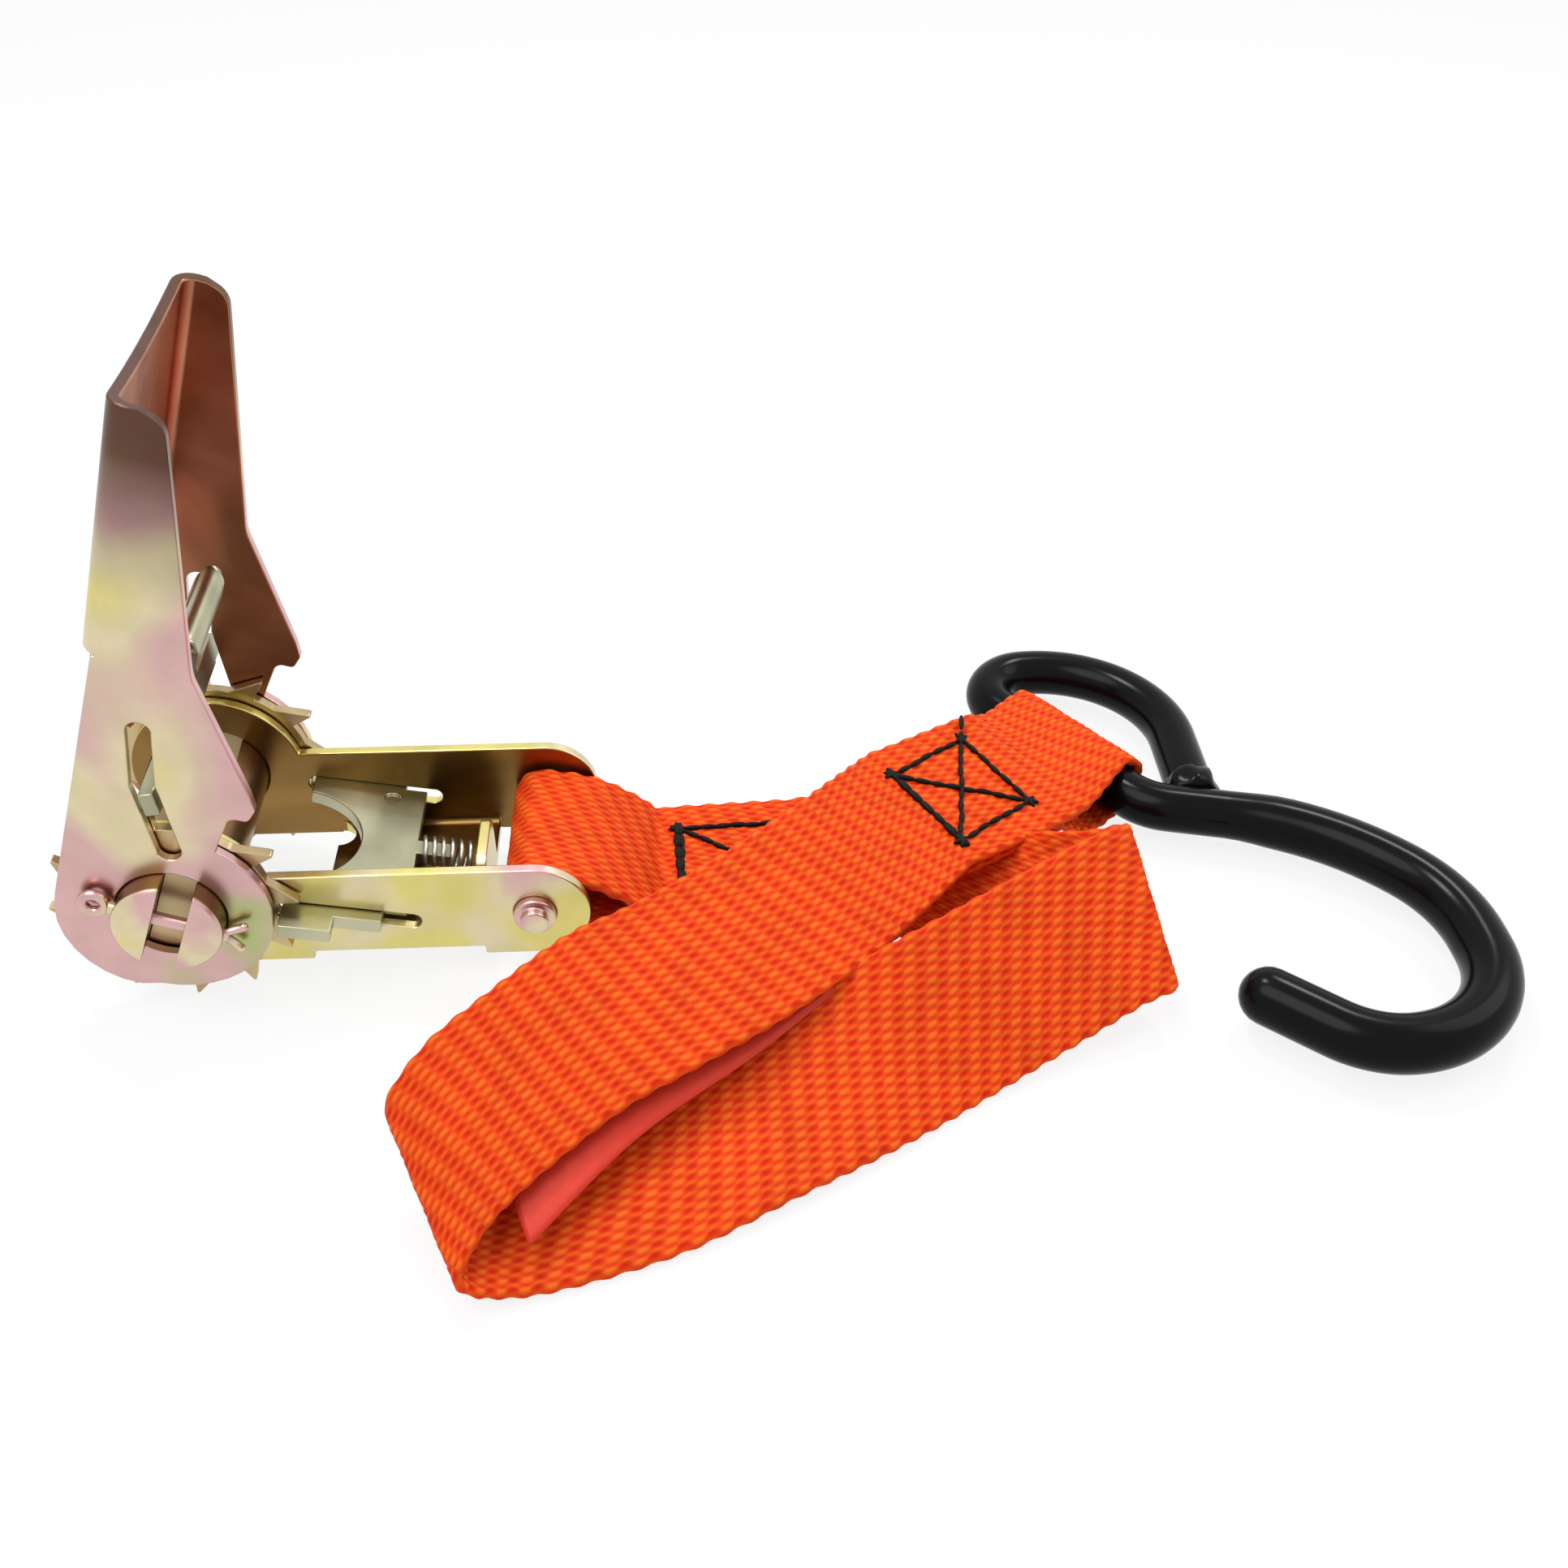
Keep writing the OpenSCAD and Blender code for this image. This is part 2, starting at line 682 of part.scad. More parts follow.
// What is cut off the handle's tip, drawn along the shaft and up the handle
module tip_cut() {
    half = handle_out + 1;
    polygon(concat(
        [[half, handle_l + half], [-half, handle_l + half]],
        [for (j = [-tip_flats:tip_flats])
            let (y = half * j / tip_flats, dip = tip_hollow * (1 - pow(y / half, 2)))
            [y, handle_l - tip_trim - dip]]
    ));
}

// Side view of the bent pawl: down into the teeth, up along the handle, and a curled tab
module pawl_side() {
    foot = pawl_foot + pawl_rest * pawl_dir;
    knee = pawl_foot + pawl_bend * pawl_dir;
    top = [knee[0], tab_l];
    slab(foot, knee, pawl_t);
    translate(knee) circle(d = pawl_t);
    slab(knee, top, pawl_t);
    tab_side(top);
}

// The tab that curls forward from the top of the pawl
module tab_side(top) {
    curl = [for (j = [0:8]) 180 - tab_sweep * j / 8];
    middle = top + [tab_curl, 0];
    polygon(concat(
        [for (t = curl) middle + (tab_curl + pawl_t / 2) * [cos(t), sin(t)]],
        [for (t = turned_round(curl)) middle + (tab_curl - pawl_t / 2) * [cos(t), sin(t)]]
    ));
}

// A straight bar of given thickness between two points
module slab(a, b, thick) {
    d = b - a;
    translate(a) rotate(atan2(d[1], d[0])) translate([0, -thick / 2]) square([norm(d), thick]);
}

module handle_pawl() {
    foot = pawl_foot + pawl_rest * pawl_dir;
    knee = pawl_foot + pawl_bend * pawl_dir;
    color(zinc_dark) in_handle() {
        side_plate(-pawl_half, pawl_half) slab(foot, foot + (0.3 + pawl_ear) * pawl_dir, pawl_t);
        side_plate(-pawl_ear_y, pawl_ear_y)
            slab(foot + 0.3 * pawl_dir, foot + (0.3 + pawl_ear) * pawl_dir, pawl_t);
        both_sides(strip_in, tab_half) pawl_side();
        side_plate(-tab_half, tab_half) {
            slab([knee[0], tab_l - tab_bridge], [knee[0], tab_l], pawl_t);
            tab_side([knee[0], tab_l]);
        }
        side_plate(-strip_in, strip_in) slab(foot, pawl_foot + pawl_shoulder * pawl_dir, pawl_t);
        side_plate(-tongue_w / 2, tongue_w / 2)
            slab(foot, pawl_foot + (seat_s - pawl_out - move_fit) * pawl_dir, pawl_t);
    }
}

module handle_pawl_spring() {
    from = pawl_foot + (pawl_shoulder + fixed_fit) * pawl_dir;
    color("silver") in_handle() translate([from[0], 0, from[1]]) rotate([0, -pawl_turn, 0])
        coil(seat_s - pawl_shoulder - 2 * fixed_fit, 5);
}

// Outline of the frame pawl, along its line from the shaft and along the shaft
module frame_pawl_side() {
    body = frame_in - move_fit;
    hollow_r = 9.9;
    hollow_at = lock_nose - 1.2;
    half = [
        [lock_nose, 0], [lock_nose, lock_ear], [lock_wide, lock_ear],
        [lock_wide, handle_in - move_fit], [lock_neck_end, handle_in - move_fit],
        [lock_neck_end, body], [lock_back, body], [lock_back, tongue_w / 2], [lock_tongue, tongue_w / 2]
    ];
    difference() {
        polygon(concat(half, turned_round([for (p = half) [p[0], -p[1]]])));
        translate([hollow_at, 0]) circle(r = hollow_r);
    }
}

module frame_pawl() {
    color(zinc_dark) rotate([0, lock_tilt, 0]) translate([0, 0, -lock_t / 2]) difference() {
        linear_extrude(lock_t) frame_pawl_side();
        translate([lock_back - 5, frame_in - 2.8, lock_t - 0.4]) cylinder(r = 1.1, h = 1);
    }
}

module frame_pawl_spring() {
    color("silver") rotate([0, 90 + lock_tilt, 0]) translate([0, 0, lock_back + 0.1])
        coil(lock_seat - lock_back - 0.1, 6);
}

module webbing() {
    color("orangered") ribbon(strap, web_w, web_t);
}

// A box with crossed diagonals, sewn on the top of a patch
module box_stitch(at, az, tilt, pitch_down, long, wide, skew) {
    slope = atan2(wide, long);
    translate(at) rotate([0, 0, az - 90]) rotate([tilt, 0, 0]) rotate([0, pitch_down, 0])
        translate([0, 0, web_t / 2 + fixed_fit]) rotate(skew)
        linear_extrude(thread_h) {
            difference() {
                square([long + thread_w, wide + thread_w], center = true);
                square([long - thread_w, wide - thread_w], center = true);
            }
            for (s = [-1, 1])
                rotate(s * slope) square([norm([long, wide]), thread_w], center = true);
        }
}

module box_stitch_ratchet() {
    color("black")
        box_stitch(patch_a, patch_a_az, patch_a_tilt, patch_a_pitch, box_a, web_w - box_a_margin, 0);
}

module box_stitch_hook() {
    color("black") 
        box_stitch(patch_b, patch_b_az, patch_b_tilt, patch_b_pitch, box_b, web_w - box_b_margin,
            box_b_skew);
}

module blank_tag() {
    color("indianred") ribbon(smooth(route_tag), tag_w, tag_t);
}

eye_line = trail(concat(eye_path, [[eye_end[1] - eye_foot, 0]]), hook_at, hook_turn);
shank_line = trail(concat(shank_path, dip_path), hook_at, hook_turn - 180);
dip_line = trail(dip_path, [shank_end[0], shank_end[1]], shank_end[2]);

module hook_rod() {
    rest = [for (i = [1:len(shank_line) - 1]) shank_line[i]];
    color("dimgray") tube(raised(concat(turned_round(eye_line), rest), hook_z), rod_r, rod_sides);
}

module eye_weld() {
    inner = rod_r + fixed_fit;
    color("black") translate([eye_end[0], eye_foot, hook_z]) rotate([-90, 0, 0]) rotate_extrude()
        polygon([[inner, 0], [inner + weld_r / 2, 0], [inner + weld_r / 3, weld_r / 2], [inner, weld_r]]);
}

module hook_coating() {
    color([0.08, 0.08, 0.09]) sleeve(raised(dip_line, hook_z), rod_r + fixed_fit, dip_t, rod_sides);
}

frame();
strap_pin();
shaft_half_lower();
shaft_half_upper();
ratchet_wheel_near();
ratchet_wheel_far();
cotter_pin_near();
cotter_pin_far();
handle();
handle_pawl();
handle_pawl_spring();
frame_pawl();
frame_pawl_spring();
webbing();
box_stitch_ratchet();
box_stitch_hook();
blank_tag();
hook_rod();
eye_weld();
hook_coating();
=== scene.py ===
"""Dresses the ratchet tie down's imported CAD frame: plated steel, sewn webbing, thread and a dipped hook."""

import functools
import json
import math

import bmesh
import bpy
import numpy as np
from mathutils import Matrix, Vector


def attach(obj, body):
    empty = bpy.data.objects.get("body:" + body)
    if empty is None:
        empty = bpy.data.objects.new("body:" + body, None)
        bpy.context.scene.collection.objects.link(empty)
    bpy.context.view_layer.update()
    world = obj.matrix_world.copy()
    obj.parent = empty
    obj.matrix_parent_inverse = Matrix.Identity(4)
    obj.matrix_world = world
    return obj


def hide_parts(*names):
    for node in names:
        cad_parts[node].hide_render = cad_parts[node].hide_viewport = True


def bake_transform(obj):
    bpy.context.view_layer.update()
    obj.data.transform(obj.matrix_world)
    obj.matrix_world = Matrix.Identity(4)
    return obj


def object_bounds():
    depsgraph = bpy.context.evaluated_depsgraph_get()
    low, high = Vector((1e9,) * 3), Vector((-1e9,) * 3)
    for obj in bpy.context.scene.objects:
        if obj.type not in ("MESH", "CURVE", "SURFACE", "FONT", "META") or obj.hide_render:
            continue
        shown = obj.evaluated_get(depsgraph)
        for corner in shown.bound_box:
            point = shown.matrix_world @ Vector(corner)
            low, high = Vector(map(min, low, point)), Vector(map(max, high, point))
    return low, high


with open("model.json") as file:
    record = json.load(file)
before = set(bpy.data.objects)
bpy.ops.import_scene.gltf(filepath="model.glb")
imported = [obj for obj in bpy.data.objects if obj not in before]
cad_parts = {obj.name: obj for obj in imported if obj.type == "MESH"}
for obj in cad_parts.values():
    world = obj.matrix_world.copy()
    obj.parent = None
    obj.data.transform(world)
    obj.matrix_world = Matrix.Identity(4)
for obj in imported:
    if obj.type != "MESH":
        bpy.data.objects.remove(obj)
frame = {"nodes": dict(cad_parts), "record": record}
CAD_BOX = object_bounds()

bl_info = {
    "name": "Ratchet tie down",
    "version": (1, 0, 0),
    "blender": (4, 5, 0),
    "location": "3D View > Sidebar > Tie down",
    "description": "Plated steel ratchet, sewn webbing and dipped hook around a packed CAD frame",
    "category": "Object",
}

MM = 0.001

# Photograph's camera, in millimetres: place, and the directions of the picture's right and up
CAMERA_AT = (75.73, -197.99, 165.26)
CAMERA_RIGHT = (0.99889, -0.04703, 0.00239)
CAMERA_UP = (0.02769, 0.62763, 0.77802)
CAMERA_LENS, CAMERA_SENSOR = 40.03, 36.0

# Steel pieces: the CAD node and the width of its broken edges, in millimetres
STEEL = {
    "frame": 0.2, "handle": 0.2, "handle_pawl": 0.2, "frame_pawl": 0.2,
    "ratchet_wheel_near": 0.14, "ratchet_wheel_far": 0.14,
    "strap_pin": 0.25, "shaft_half_lower": 0.12, "shaft_half_upper": 0.12,
    "cotter_pin_near": 0.0, "cotter_pin_far": 0.0,
}
# Clean-up of those pieces: distances in metres, and angles in degrees
MERGE, SHORT_EDGE = 1e-6, 0.15 * MM
FLAT_ANGLE, BEVEL_ANGLE, SHARP_ANGLE, WIRE_SHARP = 0.5, 32, 50, 80
# Folded stampings in millimetres: inside half widths, and where the frame's floor and the handle's web lie
INSIDE = {"frame": 13.25, "handle": 17.05}
FRAME_FLOOR, BACK_WEB = -11.2, -13.9
# How near to those a face of the inside lies
PLATE_NEAR, FLOOR_NEAR, WEB_NEAR = 0.1, 1.2, 2.0
# How far a face points inwards, up from a fold, and along the shaft at its end
PLATE_FACING, FOLD_FACING, END_FACING = 0.5, 0.3, 0.6

# Strap route in millimetres: sizes and fits first. It is the solid's, apart from a lifted middle run, a
# steeper first fold and later plies at the hook's seam
WEB_W, WEB_T, PLY_GAP = 25.0, 1.4, 0.25
MOVE_FIT, FIXED_FIT = 0.3, 0.03
PIN_X, PIN_DROP, PIN_R = 49.3, 5.0, 3.0
FLOOR_Z = -17.2
ROD_R, DIP_T, WELD_R = 3.8, 0.4, 2.0
HOOK_AT, HOOK_TURN = (133.0, 26.5), 127.0
HOOK_Z = FLOOR_Z + 1.2 * MOVE_FIT + WEB_T + MOVE_FIT + ROD_R
PIN_LOOP = PIN_R + MOVE_FIT + WEB_T / 2
BAR_LOOP = ROD_R + 1.2 * MOVE_FIT + WEB_T / 2
PLY = WEB_T + PLY_GAP
LOOP_RINGS, PATCH_RINGS = 6, 8
TAIL_A_END, PLY_B_START = 1.1, -0.7
# Sewn patches: middle of the upper ply, direction across, rise, pitch and half length
PATCH_A = dict(at=(79, 2, -10.8), az=93, tilt=3, pitch=0, half=12.5)
PATCH_B = dict(at=(112.5, 6.5, -2.6), az=125, tilt=14, pitch=7, half=12.3)
# Free stations: x, y, z, direction across the strap, rise of that direction
ROUTE_PIN = [(57, 0, -2.8, 90, 0), (63.5, 1, -7.8, 91, 1)]
ROUTE_TAIL_A = [(63, 1, -11.8, 91, 1), (56, 0, -10.2, 90, 0)]
ROUTE_LEAD_B = [(126.5, 18, -5.6, 126, 7)]
ROUTE_TAIL_B = [(127, 19.5, -13.5, 126, 3)]
ROUTE_RUNS = [
    (103, -1.5, -13, 95, 6), (120, -9, -11.5, 100, 22), (131, -14.5, -8.6, 103, 36),
    (136.9, -18.1, -4.3, 104, 35), (131, -21.5, -3.9, 108, 37), (121, -26.4, -6, 113, 40),
    (107, -33.8, -8.4, 117, 40.5), (93, -40.8, -10.6, 118, 26), (80, -47.4, -11.8, 117, 17),
    (66.5, -54.3, -12.5, 110, 17), (53.5, -58.5, -12.8, 104, 16), (44.5, -60.5, -12, 107, 15),
    (38.5, -62, -7.8, 116, 20), (42, -58, -2.5, 111, 28), (48.5, -51.5, -0.5, 106, 29),
    (59, -42.5, 1.4, 109, 24), (67.5, -36.5, 1.3, 113, 20), (78.5, -28.5, 1.3, 118, 21),
    (91, -17.5, 1.4, 121, 23), (98.5, -8.5, 0.4, 123, 19),
]
ROUTE_TAG = [
    (97, -10, -2.6, 121, 20), (91, -18, -1.3, 120, 18), (76.5, -32, -2.2, 116, 21),
    (61, -45, -3.2, 111, 20), (47.5, -58, -7.5, 112, 18),
]
SPLINE_STEPS, STRAP_FINER = 4, 6
# The selvedge in millimetres: width of its round, and of the fade of the floats. Then the least of both
SELVEDGE, FLOAT_FADE = 0.7, 0.5
SELVEDGE_LEAST, FLOAT_LEAST = 0.35, 0.1
RIB_POINTS = 3
TAG_STEP, TAG_HEM, TAG_HEM_LEAST, TAG_COLUMNS = 1.0, 0.3, 0.4, 25

# Sewn boxes in millimetres: along the strap, across it, and turn in the patch. Then offsets of the extra
# passes over the first end, the seed of the stitches' stray, and loose tails
BOXES = {
    "box_stitch_ratchet": dict(patch=PATCH_A, long=18.5, wide=13.0, skew=0.0, passes=(0.35, -0.3), seed=3,
                               tails=[]),
    "box_stitch_hook": dict(patch=PATCH_B, long=16.0, wide=15.0, skew=5.0, passes=(0.3,), seed=8,
                            tails=[[(8.0, 7.5, 0.1), (9.0, 8.5, 0.4), (10.2, 9.6, 0.6)]]),
}
# A stitch's overlap on the next, its stray in millimetres, and its rise in thread widths
STITCH_OVERLAP, STITCH_STRAY, STITCH_RISE = 1.3, 0.12, 0.3

# The hook's bent rod in plan: length or radius, and turn
BAR_HALF = WEB_W / 2 + 2.3
EYE_PATH = [(BAR_HALF, 0), (7, -120), (20.3, -97)]
SHANK_PATH = [(BAR_HALF - 1, 0), (10, 40), (9, 0)]
DIP_PATH = [(45, -36), (24, -39), (2.5, 0), (17, -88), (14, -44), (10, 0)]
# Where the dip thins out to the rod, and how far below the rod it ends, in millimetres
DIP_RUN_OUT, DIP_SINK = 9, 0.005
ROD_SIDES, WIRE_SIDES, TUBE_SHARP = 28, 12, 60
BALL_RINGS, BALL_LEAST = 6, 0.04
# The weld: its ends, bulge and sink in its radii, its rings, and the height of its lumps in its girth
WELD_RISE, WELD_BULGE, WELD_TAPER, WELD_SINK = (-1.1, 1.0), 0.32, 1.25, 0.08
WELD_RINGS, WELD_LUMPS = 12, (0.05, 0.03)

# Pawl springs in millimetres: wire, outside diameter, and where each stands
WIRE_D, SPRING_D = 0.65, 5.4
HANDLE_LEAN, PAWL_TURN, LOCK_TILT = 18.0, 23.3, 10.8
PAWL_FOOT = (-1.5, 11.53)
PAWL_SHOULDER, PAWL_SEAT, PAWL_CURLS = 12.0, 18.4, 5
LOCK_BACK, LUG_X, LOCK_CURLS = 31.4, 40.0, 6
LOCK_PLAY, LUG_PLAY = 0.1, 0.15
LEAN = math.radians(HANDLE_LEAN)
LEAN_SIN, LEAN_COS = math.sin(LEAN), math.cos(LEAN)

# The handle's round bottom: radius, swell and nearness in millimetres, and degrees from its upright
ROUND_END, SWELL, ROUND_NEAR = 13.8, 2.0, 0.4
SWELL_FROM, SWELL_TO, SWELL_SHAPE = 185.0, 286.0, 0.35
# The pawl's finger lip in the handle's side view: forward of the shaft and up the handle, millimetres
LIP_LINE = [
    (-5.4, 36.6), (-5.3, 37.7), (-4.9, 38.5), (-4.3, 38.7), (-3.7, 38.2), (-3.4, 37.3), (-3.3, 36.4),
]
LIP_HALF, LIP_T, LIP_EDGE, LIP_EDGE_ANGLE = 9.0, 1.5, 0.3, 40
# Columns across the lip, as shares of its half width, and how much of the line each one keeps
LIP_COLUMNS = {-1: 0.6, -0.93: 0.86, -0.75: 1, 0.75: 1, 0.93: 0.86, 1: 0.6}
# Painted shade on the handle, for the dark surroundings that its tip reflects: where up the handle its film
# darkens, and what the film is multiplied by there
TIP_SHADE_SPAN = (50.0, 70.0)
TIP_SHADE = (0.19, 0.15, 0.11, 1.0)
# Where the film's noise passes from each colour to the next
FILM_BANDS = {"Cream": (0.36, 0.44), "Blush": (0.46, 0.54), "Leaf": (0.63, 0.72)}
# The darker films, which paint shade inside the folded stampings and on the shaft's round and give the wheels
# and pawls their own tone: how much each colour is lifted from its tint
INSIDE_LIFTS = {"Straw": 1.12, "Cream": 1.05, "Blush": 0.95, "Leaf": 0.88}

# Stage: half width and drop of the floor in metres, and the share of its own glow that the camera sees
FLOOR_REACH, FLOOR_DROP, FLOOR_GLOW = 8.0, 0.0002, 0.85
# Lamps in metres: place from the object's middle and height, size, and share of the key's power
LAMPS = {
    "key": (-0.25, -0.15, 0.55, 0.45, 1.0),
    "fill": (0.45, 0.1, 0.4, 0.4, 0.4),
    "glint": (-0.12, 0.22, 0.5, 0.11, 0.5),
    "rim": (0.2, 0.3, 0.42, 0.09, 0.3),
}


def srgb(red, green, blue):
    """A colour given in a picture's 0 to 255 values, as the linear RGBA that a socket takes."""
    def linear(c):
        c /= 255.0
        return c / 12.92 if c <= 0.04045 else ((c + 0.055) / 1.055) ** 2.4
    return (linear(red), linear(green), linear(blue), 1.0)


def unit(v):
    return v / np.linalg.norm(v, axis=-1, keepdims=True)


def number_setting(name, description, default, **limits):
    return bpy.props.FloatProperty(name=name, description=description, default=default, **limits)


def length_setting(name, description, mm):
    return number_setting(name, description, mm * MM, unit="LENGTH")


def colour_setting(name, description, *rgb):
    return bpy.props.FloatVectorProperty(
        name=name, description=description, default=srgb(*rgb)[:3], subtype="COLOR", size=3, min=0, max=1)


class StrapSettings(bpy.types.PropertyGroup):
    """Weave, thread and tag of the strap."""

    rib: length_setting("Rib pitch", "Pitch of the ribs across the webbing", 1.32)
    column: length_setting("Float pitch", "Pitch of the yarn floats along the webbing", 1.75)
    slant: number_setting(
        "Slant", "How far a row of floats runs along the webbing for each step across it", 0.46)
    lead: number_setting(
        "Lead", "How much every second cross row stands above the rows between", 0.25, min=0)
    scallop: length_setting("Scallop", "How far the edges draw in between the rows of floats", 0.3)
    relief: length_setting("Relief", "Height of a yarn float above its valley", 0.3)
    step: length_setting("Ring step", "Distance between two rings of the webbing's mesh", 0.6)
    # Painted light and shade: the float colour is lighter on the lit tops and the valley colour darker than
    # the yarn's ground colour.
    bright: colour_setting("Float colour", "Colour of the yarn floats", 230, 102, 30)
    ground: colour_setting("Ground colour", "Colour at the flanks of the yarn floats", 214, 60, 14)
    deep: colour_setting("Valley colour", "Colour between the yarn floats", 198, 34, 8)
    stitch: length_setting("Stitch length", "Length of one stitch of the sewn boxes", 2.3)
    thread: length_setting("Thread", "Diameter of the sewing thread", 0.85)
    tag_w: length_setting("Tag width", "Width of the blank tag", 22)
    tag_t: length_setting("Tag thickness", "Thickness of the blank tag", 0.4)


class SteelSettings(bpy.types.PropertyGroup):
    """Colours of the plated steel's film."""

    straw: colour_setting("Straw", "Yellow part of the plating's film", 219, 206, 126)
    cream: colour_setting("Cream", "Palest part of the plating's film", 221, 208, 170)
    blush: colour_setting("Blush", "Pink part of the plating's film", 214, 174, 172)
    leaf: colour_setting("Leaf", "Green part of the plating's film", 178, 186, 128)


class HookSettings(bpy.types.PropertyGroup):
    """Finish of the hook."""

    dip: colour_setting("Dip colour", "Colour of the dipped coating", 7, 8, 10)
    gloss: number_setting("Dip roughness", "Roughness of the dipped coating", 0.2, min=0, max=1)


class StageSettings(bpy.types.PropertyGroup):
    """Floor and light."""

    floor: number_setting("Floor", "Share of the light that the floor sends back", 0.88, min=0, max=1)
    ambient: number_setting("Ambient", "Strength of the light from all round", 0.55, min=0)
    key: number_setting("Key light", "Power of the soft lamp above", 2.0, min=0, subtype="POWER")


def settings(group):
    return getattr(bpy.context.scene, "tie_down_" + group)


def add_object(name, data):
    piece = bpy.data.objects.new(name, data)
    bpy.context.scene.collection.objects.link(piece)
    return piece


def add_mesh(name, points, faces, smooth=True):
    """A linked object whose mesh has these points in metres."""
    mesh = bpy.data.meshes.new(name)
    mesh.from_pydata([tuple(p) for p in np.asarray(points, float)], [], faces)
    mesh.polygons.foreach_set("use_smooth", [smooth] * len(mesh.polygons))
    mesh.update()
    return add_object(name, mesh)


def dress(piece, material):
    piece.data.materials.clear()
    piece.data.materials.append(material)
    return piece


def plain_mesh(piece):
    """Turns a piece with modifiers into a plain mesh."""
    graph = bpy.context.evaluated_depsgraph_get()
    mesh = bpy.data.meshes.new_from_object(piece.evaluated_get(graph), depsgraph=graph)
    piece.modifiers.clear()
    old, piece.data = piece.data, mesh
    bpy.data.meshes.remove(old)
    mesh.name = piece.name
    return piece


def point_outwards(piece):
    """Turns a closed mesh's faces outwards."""
    form = bmesh.new()
    form.from_mesh(piece.data)
    bmesh.ops.recalc_face_normals(form, faces=form.faces)
    form.to_mesh(piece.data)
    form.free()
    return piece


# Strap route


def run_along(line):
    """How far along a line each of its points lies."""
    return np.concatenate([[0], np.cumsum(np.linalg.norm(np.diff(line, axis=0), axis=1))])


def across(az, rise):
    """Direction across the strap, from its direction in plan and its rise in degrees."""
    a, r = np.radians(az), np.radians(rise)
    return np.stack([np.cos(r) * np.cos(a), np.cos(r) * np.sin(a), np.sin(r)], axis=-1)


def patch_frame(patch):
    """Directions along, across and up from a sewn patch."""
    side = across(patch["az"], patch["tilt"])
    az, tilt, pitch = (math.radians(patch[k]) for k in ("az", "tilt", "pitch"))
    ahead, aside = math.cos(pitch), math.sin(pitch) * math.sin(tilt)
    go = np.array([
        ahead * math.sin(az) + aside * math.cos(az),
        aside * math.sin(az) - ahead * math.cos(az),
        -math.sin(pitch) * math.cos(tilt),
    ])
    return go, side, unit(np.cross(go, side))


def patch_stations(patch, start, stop, drop):
    """Stations along a sewn patch, from one share of its half length to another."""
    go, _, up = patch_frame(patch)
    shares = np.linspace(start, stop, PATCH_RINGS + 1)
    places = np.array(patch["at"], float) + np.outer(shares * patch["half"], go) - up * drop
    return [(*p, patch["az"], patch["tilt"]) for p in places]


def pin_stations():
    """The loop round the strap pin."""
    turns = np.radians(-90 - 180 * np.arange(LOOP_RINGS + 1) / LOOP_RINGS)
    return [(PIN_X + PIN_LOOP * math.cos(t), 0, -PIN_DROP + PIN_LOOP * math.sin(t), 90, 0) for t in turns]


def bar_stations():
    """The loop round the hook's bar."""
    aim = math.radians(HOOK_TURN)
    turns = np.radians(90 - 180 * np.arange(LOOP_RINGS + 1) / LOOP_RINGS)
    plan = np.array(HOOK_AT) + np.outer(BAR_LOOP * np.cos(turns), [math.sin(aim), -math.cos(aim)])
    return [(x, y, HOOK_Z + BAR_LOOP * math.sin(t), HOOK_TURN, 0) for t, (x, y) in zip(turns, plan)]


def strap_stations():
    return (
        patch_stations(PATCH_A, TAIL_A_END, -1, PLY) + ROUTE_TAIL_A + pin_stations() + ROUTE_PIN
        + patch_stations(PATCH_A, -1, 1, 0) + ROUTE_RUNS + patch_stations(PATCH_B, PLY_B_START, 1, 0)
        + ROUTE_LEAD_B + bar_stations() + ROUTE_TAIL_B + patch_stations(PATCH_B, 1, PLY_B_START, PLY)
    )


def smooth_line(stations, steps):
    """Catmull-Rom line through stations."""
    st = np.array(stations, float)
    n = len(st)
    found = []
    for i in range(n - 1):
        a, b, c, d = st[max(i - 1, 0)], st[i], st[i + 1], st[min(i + 2, n - 1)]
        for t in np.arange(steps) / steps:
            found.append(0.5 * (2 * b + (c - a) * t + (2 * a - 5 * b + 4 * c - d) * t**2
                                + (3 * b - a - 3 * c + d) * t**3))
    found.append(st[-1])
    return np.array(found)


class Ribbon:
    """A strap's middle line, resampled at even steps, with its directions across and up (metres)."""

    def __init__(self, stations, step):
        fine = smooth_line(stations, SPLINE_STEPS * STRAP_FINER)
        line = fine[:, :3] * MM
        run = run_along(line)
        self.length = float(run[-1])
        count = max(2, int(round(self.length / step)) + 1)
        self.run = np.linspace(0, self.length, count)
        self.line = np.stack([np.interp(self.run, run, line[:, k]) for k in range(3)], axis=1)
        self.side = across(np.interp(self.run, run, fine[:, 3]), np.interp(self.run, run, fine[:, 4]))
        go = unit(np.gradient(self.line, axis=0))
        self.up = unit(np.cross(go, self.side))


def ring_faces(rings, around):
    """Quads between closed rings of points, one ring after the other."""
    return [(i * around + k, i * around + (k + 1) % around,
             (i + 1) * around + (k + 1) % around, (i + 1) * around + k)
            for i in range(rings - 1) for k in range(around)]


def section_faces(n, m):
    """Faces of n rings that go along the m columns of an upper side and back along a lower one."""
    ring = 2 * m
    last = (n - 1) * ring
    faces = ring_faces(n, ring)
    for near in range(m - 1):
        far = ring - 1 - near
        faces.append((near, far, far - 1, near + 1))
        faces.append((last + near, last + near + 1, last + far - 1, last + far))
    return faces


def level(run, offset):
    return np.zeros_like(run)


